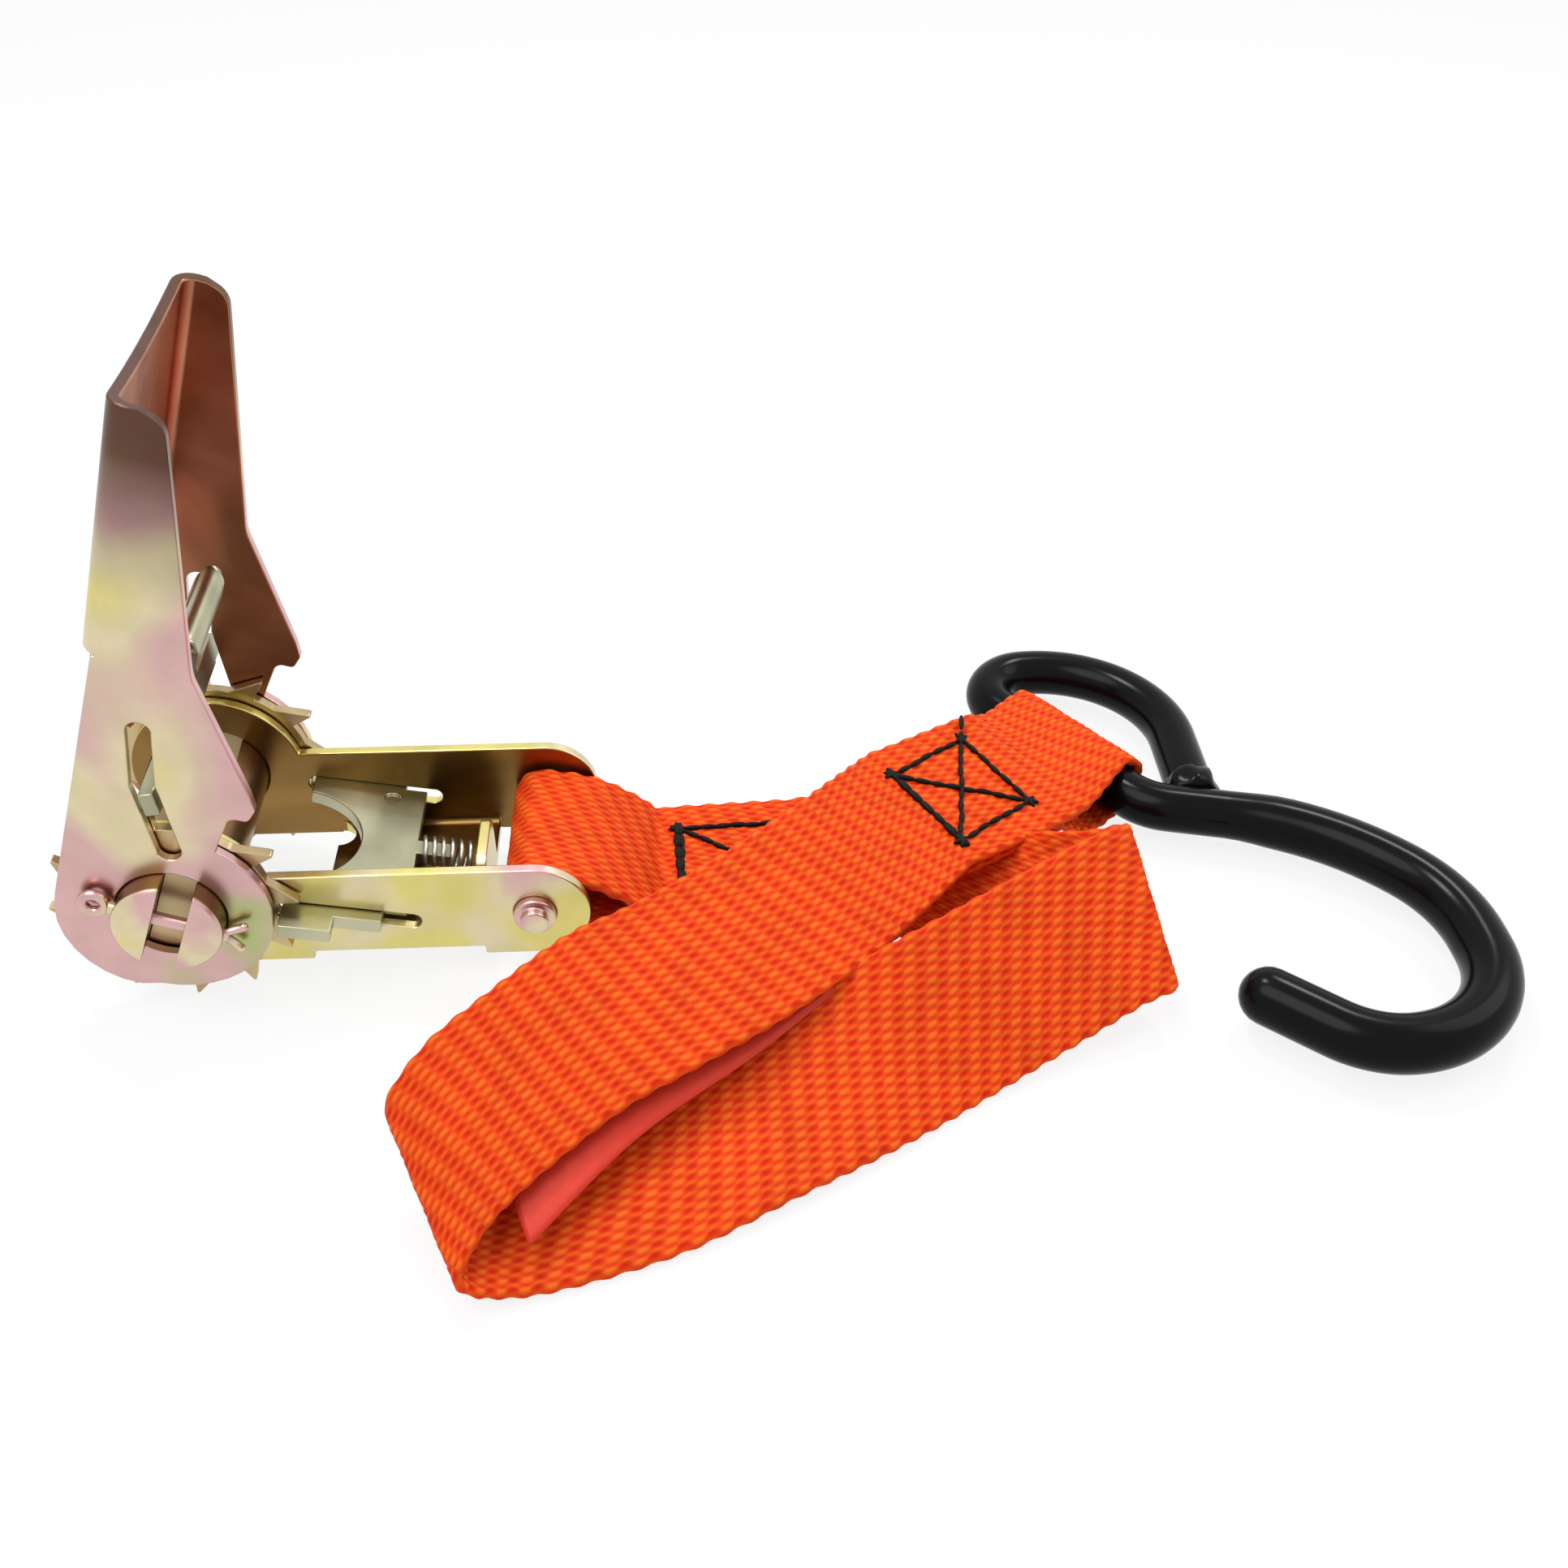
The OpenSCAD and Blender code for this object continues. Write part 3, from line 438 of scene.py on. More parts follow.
def ribbon_mesh(name, ribbon, offsets, half_t, relief=level, draw_in=level):
    """Sweeps a flat closed section along a ribbon.

    relief(run, offset) is added to both sides, and draw_in(run, offset) is taken from the offsets.
    """
    n, m = len(ribbon.run), len(offsets)
    points = np.zeros((n, 2 * m, 3))
    for k, offset in enumerate(offsets):
        middle = ribbon.line + ribbon.side * (offset - draw_in(ribbon.run, offset))[:, None]
        height = ribbon.up * (half_t[k] + relief(ribbon.run, offset))[:, None]
        points[:, k], points[:, 2 * m - 1 - k] = middle + height, middle - height
    piece = add_mesh(name, points.reshape(-1, 3), section_faces(n, m))
    # UV in metres: across the strap, and along it
    columns = np.concatenate([offsets, offsets[::-1]])
    where = np.stack(np.broadcast_arrays(columns, ribbon.run[:, None]), axis=-1)
    where = where.reshape(-1, 2).astype(np.float32)
    corner = np.zeros(len(piece.data.loops), np.int32)
    piece.data.loops.foreach_get("vertex_index", corner)
    piece.data.uv_layers.new(name="strap").data.foreach_set("uv", where[corner].ravel())
    return point_outwards(piece)


# Rods and coils


def bend_move(size, turn, heading):
    """The step in plan over a bend of this radius, by its turn and first heading in degrees."""
    a, b = math.radians(heading), math.radians(heading + turn)
    way = math.copysign(size, turn)
    return np.array([way * (math.sin(b) - math.sin(a)), way * (math.cos(a) - math.cos(b))])


def plan_path(path, at, heading, bend_step=3.0, line_step=2.0):
    """Points of a bent rod in plan, and the heading at its end."""
    at = np.array(at, float)
    found = [at]
    for size, turn in path:
        aim = np.array([math.cos(math.radians(heading)), math.sin(math.radians(heading))])
        count = math.ceil(abs(turn) / bend_step) if turn else max(1, math.ceil(size / line_step))
        for j in range(1, count + 1):
            step = bend_move(size, turn * j / count, heading) if turn else aim * size * j / count
            found.append(at + step)
        at, heading = found[-1], heading + turn
    return np.array(found), heading


def raised(plan, z):
    return np.column_stack([plan, np.full(len(plan), z)]) * MM


def tube(name, line, radii, sides=ROD_SIDES):
    """A closed round tube along a line of points (metres), with a radius at each point."""
    line = np.asarray(line, float)
    n = len(line)
    radii = np.broadcast_to(np.asarray(radii, float), (n,))
    go = unit(np.gradient(line, axis=0))
    side = np.zeros_like(go)
    start = np.array([0, 0, 1.0]) if abs(go[0, 2]) < 0.9 else np.array([1.0, 0, 0])
    side[0] = unit(np.cross(start, go[0]))
    for i in range(1, n):
        side[i] = unit(side[i - 1] - go[i] * np.dot(side[i - 1], go[i]))
    up = np.cross(go, side)
    turn = 2 * np.pi * np.arange(sides) / sides
    rings = (line[:, None] + radii[:, None, None]
             * (side[:, None] * np.cos(turn)[None, :, None] + up[:, None] * np.sin(turn)[None, :, None]))
    faces = ring_faces(n, sides)
    faces += [tuple(range(sides))[::-1], tuple((n - 1) * sides + k for k in range(sides))]
    piece = point_outwards(add_mesh(name, rings.reshape(-1, 3), faces))
    piece.data.set_sharp_from_angle(angle=math.radians(TUBE_SHARP))
    return piece


def round_end(line, radius):
    """Adds the points and radii of a ball end to a tube's line."""
    turn = np.linspace(0, np.pi / 2, BALL_RINGS + 1)[1:]
    ahead = np.outer(np.sin(turn) * radius, unit(line[-1] - line[-2]))
    girth = np.maximum(np.cos(turn) * radius, radius * BALL_LEAST)
    return np.vstack([line, line[-1] + ahead]), np.concatenate([np.full(len(line), radius), girth])


def coil_line(length, curls, per_curl=24):
    """A coil spring's wire along +Z, in millimetres."""
    r = (SPRING_D - WIRE_D) / 2
    i = np.arange(curls * per_curl + 1)
    turn = 2 * np.pi * i / per_curl
    return np.column_stack([r * np.cos(turn), r * np.sin(turn),
                            WIRE_D / 2 + (length - WIRE_D) * i / (curls * per_curl)])


def placed(points, matrix):
    """Points in millimetres, moved by a matrix in millimetres, in metres."""
    m = np.array(matrix)
    return (points @ m[:3, :3].T + m[:3, 3]) * MM


# Materials


class Nodes:
    """A node tree being wired: nodes by type, with their inputs by name or number."""

    def __init__(self, tree):
        self.tree = tree

    def feed(self, node, values):
        for key, value in values.items():
            if isinstance(value, bpy.types.NodeSocket):
                self.tree.links.new(value, node.inputs[key])
            else:
                node.inputs[key].default_value = value

    def add(self, kind, values=None, **attributes):
        made = self.tree.nodes.new(kind)
        for key, value in attributes.items():
            setattr(made, key, value)
        self.feed(made, values or {})
        return made

    def math(self, operation, a, b=0.0):
        return self.add("ShaderNodeMath", {0: a, 1: b}, operation=operation).outputs[0]

    def plus(self, a, b):
        return self.math("ADD", a, b)

    def times(self, a, b):
        return self.math("MULTIPLY", a, b)

    def noise(self, place, scale, detail, **more):
        return self.add("ShaderNodeTexNoise", {"Vector": place, "Scale": scale, "Detail": detail,
                                               **more}).outputs["Fac"]

    def spread(self, value, low, high, to_low=0.0, to_high=1.0):
        """A value moved from one range to another, held at its ends."""
        return self.add("ShaderNodeMapRange", {"Value": value, "From Min": low, "From Max": high,
                                               "To Min": to_low, "To Max": to_high}).outputs["Result"]

    def mix(self, share, a, b, blend="MIX"):
        return self.add("ShaderNodeMix", {"Factor": share, 6: a, 7: b}, data_type="RGBA",
                        blend_type=blend).outputs[2]

    def bump(self, height, strength, depth):
        """A normal bent by a height, with the depth in millimetres."""
        return self.add("ShaderNodeBump", {"Strength": strength, "Distance": depth * MM,
                                           "Height": height}).outputs["Normal"]

    def ramp(self, value, stops):
        made = self.add("ShaderNodeValToRGB", {"Fac": value})
        band = made.color_ramp
        while len(band.elements) < len(stops):
            band.elements.new(0.5)
        for element, (place, colour) in zip(band.elements, stops):
            element.position, element.color = place, colour
        return made.outputs["Color"]


def emptied(owner):
    """The emptied node tree of a material or a world, to wire."""
    owner.use_nodes = True
    owner.node_tree.nodes.clear()
    return Nodes(owner.node_tree)


def once(build):
    """Makes a node group the first time that it is asked for, with its function's name."""
    def found():
        name = build.__name__.replace("_", " ")
        return bpy.data.node_groups.get(name) or build(name)
    return found


def group_tree(name, kind, inputs, outputs):
    tree = bpy.data.node_groups.new(name, kind)
    for way, sockets in (("INPUT", inputs), ("OUTPUT", outputs)):
        for label, socket in sockets:
            tree.interface.new_socket(label, in_out=way, socket_type="NodeSocket" + socket)
    return tree, Nodes(tree)


@once
def zinc_film(name):
    """Shader group: colour and roughness of a passivated zinc film that drifts over the surface."""
    tree, wire = group_tree(
        name, "ShaderNodeTree",
        [("Straw", "Color")] + [(label, "Color") for label in FILM_BANDS]
        + [("Drift", "Float"), ("Bias", "Float"), ("Gloss", "Float")],
        [("Color", "Color"), ("Roughness", "Float"), ("Height", "Float")])
    given = wire.add("NodeGroupInput").outputs
    place = wire.add("ShaderNodeTexCoord").outputs["Object"]
    drift = wire.noise(place, given["Drift"], 2.5, Roughness=0.5, Distortion=0.6)
    hue = wire.plus(drift, given["Bias"])
    tone = given["Straw"]
    for label, (low, high) in FILM_BANDS.items():
        tone = wire.mix(wire.spread(hue, low, high), tone, given[label])
    speck = wire.noise(place, 900.0, 3.0)
    cloud = wire.noise(place, 160.0, 4.0)
    tone = wire.mix(1.0, tone, wire.spread(cloud, 0.3, 0.7, 0.9, 1.04), "MULTIPLY")
    rough = wire.plus(given["Gloss"], wire.times(cloud, 0.16))
    wire.add("NodeGroupOutput", {"Color": tone, "Roughness": rough, "Height": speck})
    return tree


@once
def fine_grain(name):
    """Shader group: the height of a fine uneven surface."""
    tree, wire = group_tree(name, "ShaderNodeTree", [("Grain", "Float"), ("Swell", "Float")],
                            [("Height", "Float")])
    given = wire.add("NodeGroupInput").outputs
    place = wire.add("ShaderNodeTexCoord").outputs["Object"]
    grain = wire.noise(place, given["Grain"], 3.0)
    swell = wire.noise(place, given["Swell"], 2.0)
    wire.add("NodeGroupOutput", {"Height": wire.plus(wire.times(grain, 0.3), swell)})
    return tree


def new_material(name):
    """A material by name. One that is new comes with its tree to wire and its Principled shader."""
    if name in bpy.data.materials:
        return bpy.data.materials[name], None, None
    made = bpy.data.materials.new(name)
    wire = emptied(made)
    shader = wire.add("ShaderNodeBsdfPrincipled")
    wire.add("ShaderNodeOutputMaterial", {"Surface": shader.outputs["BSDF"]})
    return made, wire, shader


def opaque(colour):
    return (*colour, 1.0)


def plated(name, bias, drift, gloss, tip_shade=None):
    """Zinc plating: metal under a film of drifting colours.

    The last argument gives two heights up the handle, between which shade is painted over the film, darker
    towards the tip.
    """
    made, wire, shader = new_material(name)
    if wire:
        steel = settings("steel")
        tints = {label: opaque(getattr(steel, label.lower())) for label in ("Straw", *FILM_BANDS)}
        film = wire.add("ShaderNodeGroup", {**tints, "Drift": drift, "Bias": bias, "Gloss": gloss},
                        node_tree=zinc_film()).outputs
        tone = film["Color"]
        # Painted shade: the film is multiplied darker towards the handle's tip.
        if tip_shade:
            place = wire.add("ShaderNodeTexCoord").outputs["Object"]
            high = wire.add("ShaderNodeVectorMath", {0: place, 1: (LEAN_SIN, 0, LEAN_COS)},
                            operation="DOT_PRODUCT").outputs["Value"]
            tone = wire.mix(wire.spread(high, tip_shade[0] * MM, tip_shade[1] * MM), tone, TIP_SHADE, "MULTIPLY")
        wire.feed(shader, {"Base Color": tone, "Roughness": film["Roughness"], "Metallic": 1.0,
                           "Normal": wire.bump(film["Height"], 0.08, 0.02)})
    return made


def bronze_inside(name, tint):
    """A darker film: the own tone of the wheels and pawls, and painted shade inside the folded stampings and
    on the shaft's round faces.
    """
    made, wire, shader = new_material(name)
    if wire:
        tints = {label: srgb(*(min(255, c * lift) for c in tint)) for label, lift in INSIDE_LIFTS.items()}
        film = wire.add("ShaderNodeGroup", {**tints, "Drift": 40.0, "Gloss": 0.24},
                        node_tree=zinc_film()).outputs
        wire.feed(shader, {"Base Color": film["Color"], "Roughness": film["Roughness"], "Metallic": 1.0})
    return made


def grey_pawl():
    return bronze_inside("grey pawl", (172, 170, 142))


def spring_wire():
    made, wire, shader = new_material("spring wire")
    if wire:
        wire.feed(shader, {"Base Color": srgb(188, 186, 180), "Metallic": 1.0, "Roughness": 0.3})
    return made


def orange_webbing():
    """Woven polyester, with painted light on the floats' tops and painted shade in the valleys; floats and
    valleys follow the strap's own UV.
    """
    made, wire, shader = new_material("orange webbing")
    if wire:
        strap = settings("strap")
        uv = wire.add("ShaderNodeUVMap", uv_map="strap").outputs["UV"]
        split = wire.add("ShaderNodeSeparateXYZ", {"Vector": uv}).outputs
        wobble = wire.noise(uv, 900.0, 2.0)
        sway = wire.times(wire.math("SUBTRACT", wobble, 0.5), 0.9)
        ribs = wire.plus(wire.times(split["X"], 2 * math.pi / strap.rib), sway)
        row = wire.plus(split["Y"], wire.times(split["X"], strap.slant))
        along = wire.plus(wire.times(row, math.pi / strap.column), sway)
        # The same floats as the mesh's relief
        rows = wire.math("COSINE", along)
        woven = wire.times(wire.math("COSINE", ribs), rows)
        leading = wire.times(wire.plus(rows, 1.0), strap.lead)
        floats = wire.plus(wire.plus(wire.times(woven, 0.5), 0.5), leading)
        floats = wire.math("DIVIDE", floats, 1 + 2 * strap.lead)
        fine = wire.add("ShaderNodeMapping", {"Vector": uv, "Scale": (9000.0, 900.0, 1.0)}).outputs[0]
        height = wire.plus(floats, wire.times(wire.noise(fine, 1.0, 2.0), 0.18))
        # Painted light and shade: colour follows height, lighter on the floats' tops and darker in the
        # valleys.
        colour = wire.ramp(height, [(0.1, opaque(strap.deep)), (0.5, opaque(strap.ground)),
                                    (0.95, opaque(strap.bright))])
        shade = wire.spread(wire.noise(uv, 140.0, 3.0), 0.3, 0.7, 0.88, 1.05)
        wire.feed(shader, {"Base Color": wire.mix(1.0, colour, shade, "MULTIPLY"), "Roughness": 0.62,
                           "Normal": wire.bump(height, 0.6, 0.25), "Specular IOR Level": 0.08})
    return made


def grained(name, colour, rough, specular, grain, swell, depth):
    """A plain finish with a fine uneven surface."""
    made, wire, shader = new_material(name)
    if wire:
        group = wire.add("ShaderNodeGroup", {"Grain": grain, "Swell": swell}, node_tree=fine_grain())
        wire.feed(shader, {"Base Color": colour, "Roughness": rough, "Specular IOR Level": specular,
                           "Normal": wire.bump(group.outputs["Height"], 0.4, depth)})
    return made


def hook_black(name, grain, swell):
    hook = settings("hook")
    return grained(name, opaque(hook.dip), hook.gloss, 0.1, grain, swell, 0.03)


# Pieces


def ahead_of(v):
    """How far a vector reaches forward of the handle's upright."""
    return v.x * LEAN_COS - v.z * LEAN_SIN


def swell_round_end(form):
    """Swells the handle's round bottom at the back, where it covers the wheel's teeth."""
    for v in form.verts:
        ahead, high = ahead_of(v.co), v.co.x * LEAN_SIN + v.co.z * LEAN_COS
        reach, turn = math.hypot(ahead, high), math.degrees(math.atan2(ahead, high)) % 360
        if abs(reach - ROUND_END * MM) < ROUND_NEAR * MM and SWELL_FROM < turn < SWELL_TO:
            share = math.sin(math.pi * (turn - SWELL_FROM) / (SWELL_TO - SWELL_FROM)) ** SWELL_SHAPE
            grow = 1 + share * SWELL / ROUND_END
            v.co *= Vector((grow, 1, grow))


def on_inside(face, node):
    """Whether a face lies on the inside of a folded stamping, where shade is painted."""
    at, out, half = face.center, face.normal, INSIDE[node] * MM
    if abs(abs(at.y) - half) < PLATE_NEAR * MM and out.y * at.y < -PLATE_FACING * abs(at.y):
        return True
    if node == "handle":
        fold = ahead_of(at) < (BACK_WEB + WEB_NEAR) * MM and ahead_of(out) > FOLD_FACING
    else:
        fold = at.z < (FRAME_FLOOR + FLOOR_NEAR) * MM and out.z > FOLD_FACING
    return fold and abs(at.y) < half


def shade_faces(piece, finish, chosen):
    """Gives some of a piece's faces a material of their own, which paints shade on them."""
    piece.data.materials.append(finish)
    for face in piece.data.polygons:
        if chosen(face):
            face.material_index = 1


def off_the_end(face):
    """Whether a face of a shaft half is round or in the slot, not at an end: these faces get painted shade.
    """
    return abs(face.normal.y) < END_FACING


def broken_edges(node, width):
    """A merged copy of a CAD node with its sharp edges broken, in its own plain mesh."""
    mesh = frame["nodes"][node].data.copy()
    form = bmesh.new()
    form.from_mesh(mesh)
    bmesh.ops.remove_doubles(form, verts=form.verts, dist=MERGE)
    bmesh.ops.dissolve_limit(form, angle_limit=math.radians(FLAT_ANGLE), verts=form.verts, edges=form.edges)
    if width:
        bmesh.ops.dissolve_degenerate(form, dist=SHORT_EDGE, edges=form.edges)
    if node == "handle":
        swell_round_end(form)
    form.to_mesh(mesh)
    form.free()
    mesh.polygons.foreach_set("use_smooth", [True] * len(mesh.polygons))
    piece = add_object(node + "_finished", mesh)
    if width:
        bevel_edges(piece, width, BEVEL_ANGLE).use_clamp_overlap = False
    mesh.set_sharp_from_angle(angle=math.radians(SHARP_ANGLE if width else WIRE_SHARP))
    piece.modifiers.new("even shading", "WEIGHTED_NORMAL").keep_sharp = True
    return plain_mesh(piece)


def bevel_edges(piece, width, angle):
    bevel = piece.modifiers.new("broken edges", "BEVEL")
    bevel.width, bevel.segments = width * MM, 2
    bevel.limit_method, bevel.angle_limit = "ANGLE", math.radians(angle)
    return bevel


class TIEDOWN_OT_steel(bpy.types.Operator):
    """Plated stampings, shaft, pins and wheels"""

    bl_idname = "tiedown.steel"
    bl_label = "Plated steel"

    def execute(self, context):
        bodies = frame["record"]["behaviour"]["bodies"]
        body_of = {node: body for body, nodes in bodies.items() for node in nodes}
        wheel = bronze_inside("bronzed wheel", (190, 168, 128))
        finishes = {
            "handle": plated("zinc handle", 0.06, 24.0, 0.24, TIP_SHADE_SPAN),
            "frame": plated("zinc frame", -0.13, 30.0, 0.22),
            "handle_pawl": grey_pawl(),
            "frame_pawl": grey_pawl(),
            "ratchet_wheel_near": wheel,
            "ratchet_wheel_far": wheel,
        }
        # Painted shade: the insides of the folded stampings get a darker film.
        inside = {"handle": bronze_inside("handle inside painted shade", (176, 120, 92)),
                  "frame": bronze_inside("frame inside painted shade", (138, 108, 62))}
        bar = plated("zinc bar", 0.06, 60.0, 0.2)
        # Painted shade: the shaft's round faces and slot get a darker film than its ends.
        round_shade = bronze_inside("shaft round painted shade", (142, 112, 78))
        for node, width in STEEL.items():
            piece = dress(broken_edges(node, width), finishes.get(node, bar))
            if node in inside:
                shade_faces(piece, inside[node], functools.partial(on_inside, node=node))
            elif node.startswith("shaft"):
                shade_faces(piece, round_shade, off_the_end)
            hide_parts(node)
            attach(piece, body_of[node])
        return {"FINISHED"}


def finger_lip():
    """The lip that curls forward over the top of the handle's pawl."""
    line = smooth_line([(x, 0, z) for x, z in LIP_LINE], SPLINE_STEPS)[:, [0, 2]]
    go = unit(np.gradient(line, axis=0))
    out = np.column_stack([go[:, 1], -go[:, 0]]) * LIP_T / 2
    n, m = len(line), len(LIP_COLUMNS)
    points = np.zeros((n, 2 * m, 3))
    for k, (share, kept) in enumerate(LIP_COLUMNS.items()):
        at = np.linspace(0, int((n - 1) * kept), n)
        for skin, column in ((line + out, k), (line - out, 2 * m - 1 - k)):
            x, z = (np.interp(at, np.arange(n), skin[:, i]) for i in (0, 1))
            points[:, column] = np.column_stack([
                x * LEAN_COS + z * LEAN_SIN, np.full(n, share * LIP_HALF), z * LEAN_COS - x * LEAN_SIN])
    return point_outwards(add_mesh("handle_pawl_lip", points.reshape(-1, 3) * MM, section_faces(n, m)))


class TIEDOWN_OT_pawl_lip(bpy.types.Operator):
    """The curled lip that a finger pulls on the handle's pawl"""

    bl_idname = "tiedown.pawl_lip"
    bl_label = "Pawl lip"

    def execute(self, context):
        piece = finger_lip()
        bevel_edges(piece, LIP_EDGE, LIP_EDGE_ANGLE)
        dress(plain_mesh(piece), grey_pawl())
        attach(piece, "handle_pawl")
        return {"FINISHED"}


class TIEDOWN_OT_springs(bpy.types.Operator):
    """The two pawl springs, each coiled at rest between the parts that it pushes on"""

    bl_idname = "tiedown.springs"
    bl_label = "Pawl springs"

    def execute(self, context):
        way = math.radians(PAWL_TURN)
        go = np.array([-math.sin(way), math.cos(way)])
        start = np.array(PAWL_FOOT) + (PAWL_SHOULDER + FIXED_FIT) * go
        in_handle = (Matrix.Rotation(LEAN, 4, "Y")
                     @ Matrix.Translation((start[0], 0, start[1])) @ Matrix.Rotation(-way, 4, "Y"))
        in_frame = (Matrix.Rotation(math.radians(90 + LOCK_TILT), 4, "Y")
                    @ Matrix.Translation((0, 0, LOCK_BACK + LOCK_PLAY)))
        tilt = math.radians(LOCK_TILT)
        lug = LUG_X / math.cos(tilt) - SPRING_D / 2 * math.tan(tilt) - LUG_PLAY
        rows = (
            ("handle_pawl_spring", in_handle, PAWL_SEAT - PAWL_SHOULDER - 2 * FIXED_FIT, PAWL_CURLS,
             "handle_pawl", "handle"),
            ("frame_pawl_spring", in_frame, lug - LOCK_BACK - LOCK_PLAY, LOCK_CURLS, "frame_pawl", "root"),
        )
        for node, matrix, length, curls, foot, seat in rows:
            line = placed(coil_line(length, curls), matrix)
            piece = dress(tube(node + "_coil", line, WIRE_D / 2 * MM, WIRE_SIDES), spring_wire())
            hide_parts(node)
            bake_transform(piece)
        return {"FINISHED"}


class TIEDOWN_OT_webbing(bpy.types.Operator):
    """The woven strap, looped round the strap pin and the hook's bar"""

    bl_idname = "tiedown.webbing"
    bl_label = "Webbing"

    def execute(self, context):
        strap = settings("strap")
        ribbon = Ribbon(strap_stations(), strap.step)
        half = WEB_W / 2 * MM
        ribs = int(round(WEB_W * MM / strap.rib))
        offsets = np.linspace(-half, half, RIB_POINTS * ribs + 1)
        edge = np.clip((half - np.abs(offsets)) / (SELVEDGE * MM), 0, 1)
        low = (WEB_T * MM - strap.relief) / 2
        half_t = low * (SELVEDGE_LEAST + (1 - SELVEDGE_LEAST) * np.sqrt(1 - (1 - edge) ** 2))

        def cross_rows(run, offset):
            return np.cos(np.pi * (run + strap.slant * offset) / strap.column)

        def relief(run, offset):
            rib, rows = math.cos(2 * math.pi * offset / strap.rib), cross_rows(run, offset)
            floats = (0.5 + 0.5 * rib * rows + strap.lead * (1 + rows)) / (1 + 2 * strap.lead)
            fade = min(1.0, (half - abs(offset)) / (FLOAT_FADE * MM))
            return strap.relief * floats * (FLOAT_LEAST + (1 - FLOAT_LEAST) * fade)

        def draw_in(run, offset):
            return strap.scallop * (0.5 - 0.5 * cross_rows(run, offset)) * (offset / half) ** 3

        piece = ribbon_mesh("webbing_woven", ribbon, offsets, half_t, relief, draw_in)
        dress(piece, orange_webbing())
        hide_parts("webbing")
        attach(piece, "strap")
        return {"FINISHED"}


@once
def seam_stitches(name):
    """Geometry Nodes: a row of stitches along each line of a seam drawn flat."""
    tree, wire = group_tree(
        name, "GeometryNodeTree",
        [("Seam", "Geometry"), ("Stitch", "Float"), ("Thread", "Float"),
         ("Stray", "Float"), ("Seed", "Int"), ("Material", "Material")],
        [("Geometry", "Geometry")])
    given = wire.add("NodeGroupInput").outputs
    curve = wire.add("GeometryNodeMeshToCurve", {"Mesh": given["Seam"]}).outputs["Curve"]
    even = wire.add("GeometryNodeResampleCurve", {"Curve": curve, "Length": given["Stitch"]}, mode="LENGTH")
    stray = wire.add("ShaderNodeCombineXYZ", {"X": given["Stray"], "Y": given["Stray"]}).outputs[0]
    back = wire.add("ShaderNodeVectorMath", {0: stray, "Scale": -1.0}, operation="SCALE").outputs[0]
    nudge = wire.add("FunctionNodeRandomValue", {0: back, 1: stray, "Seed": given["Seed"]},
                     data_type="FLOAT_VECTOR").outputs[0]
    points = wire.add("GeometryNodeSetPosition", {"Geometry": even.outputs["Curve"], "Offset": nudge})
    ball = wire.add("GeometryNodeMeshUVSphere", {"Segments": 10, "Rings": 6, "Radius": 0.5})
    aim = wire.add("FunctionNodeAlignRotationToVector", {
        "Vector": wire.add("GeometryNodeInputTangent").outputs["Tangent"]}, axis="X")
    long = wire.times(given["Stitch"], STITCH_OVERLAP)
    grow = wire.add("ShaderNodeCombineXYZ", {
        "X": long, "Y": given["Thread"], "Z": given["Thread"]}).outputs[0]
    rows = wire.add("GeometryNodeInstanceOnPoints", {
        "Points": points.outputs["Geometry"], "Instance": ball.outputs["Mesh"],
        "Rotation": aim.outputs["Rotation"], "Scale": grow})
    real = wire.add("GeometryNodeRealizeInstances", {"Geometry": rows.outputs["Instances"]})
    even_shade = wire.add("GeometryNodeSetShadeSmooth", {"Geometry": real.outputs["Geometry"]})
    painted = wire.add("GeometryNodeSetMaterial", {"Geometry": even_shade.outputs[0],
                                                   "Material": given["Material"]})
    wire.add("NodeGroupOutput", {"Geometry": painted.outputs["Geometry"]})
    return tree


def stitched(name, lines, values):
    """A seam's stitches as a plain mesh, from flat lines in metres."""
    points, edges = [], []
    for line in lines:
        first = len(points)
        points += [(*point, 0.0)[:3] for point in line]
        edges += [(first + i, first + i + 1) for i in range(len(line) - 1)]
    mesh = bpy.data.meshes.new(name)
    mesh.from_pydata(points, edges, [])
    piece = add_object(name, mesh)
    modifier = piece.modifiers.new("stitches", "NODES")
    modifier.node_group = tree = seam_stitches()
    for socket in tree.interface.items_tree:
        if socket.item_type == "SOCKET" and socket.in_out == "INPUT" and socket.name in values:
            modifier[socket.identifier] = values[socket.name]
    return plain_mesh(piece)


def box_lines(long, wide, bar_tack):
    """A sewn box with its two diagonals, and extra passes over its first end."""
    a, b = long / 2, wide / 2
    lines = [[(-a, -b), (a, -b)], [(a, -b), (a, b)], [(a, b), (-a, b)], [(-a, b), (-a, -b)],
             [(-a, -b), (a, b)], [(-a, b), (a, -b)]]
    return lines + [[(-a + d, b), (-a + d, -b)] for d in bar_tack]


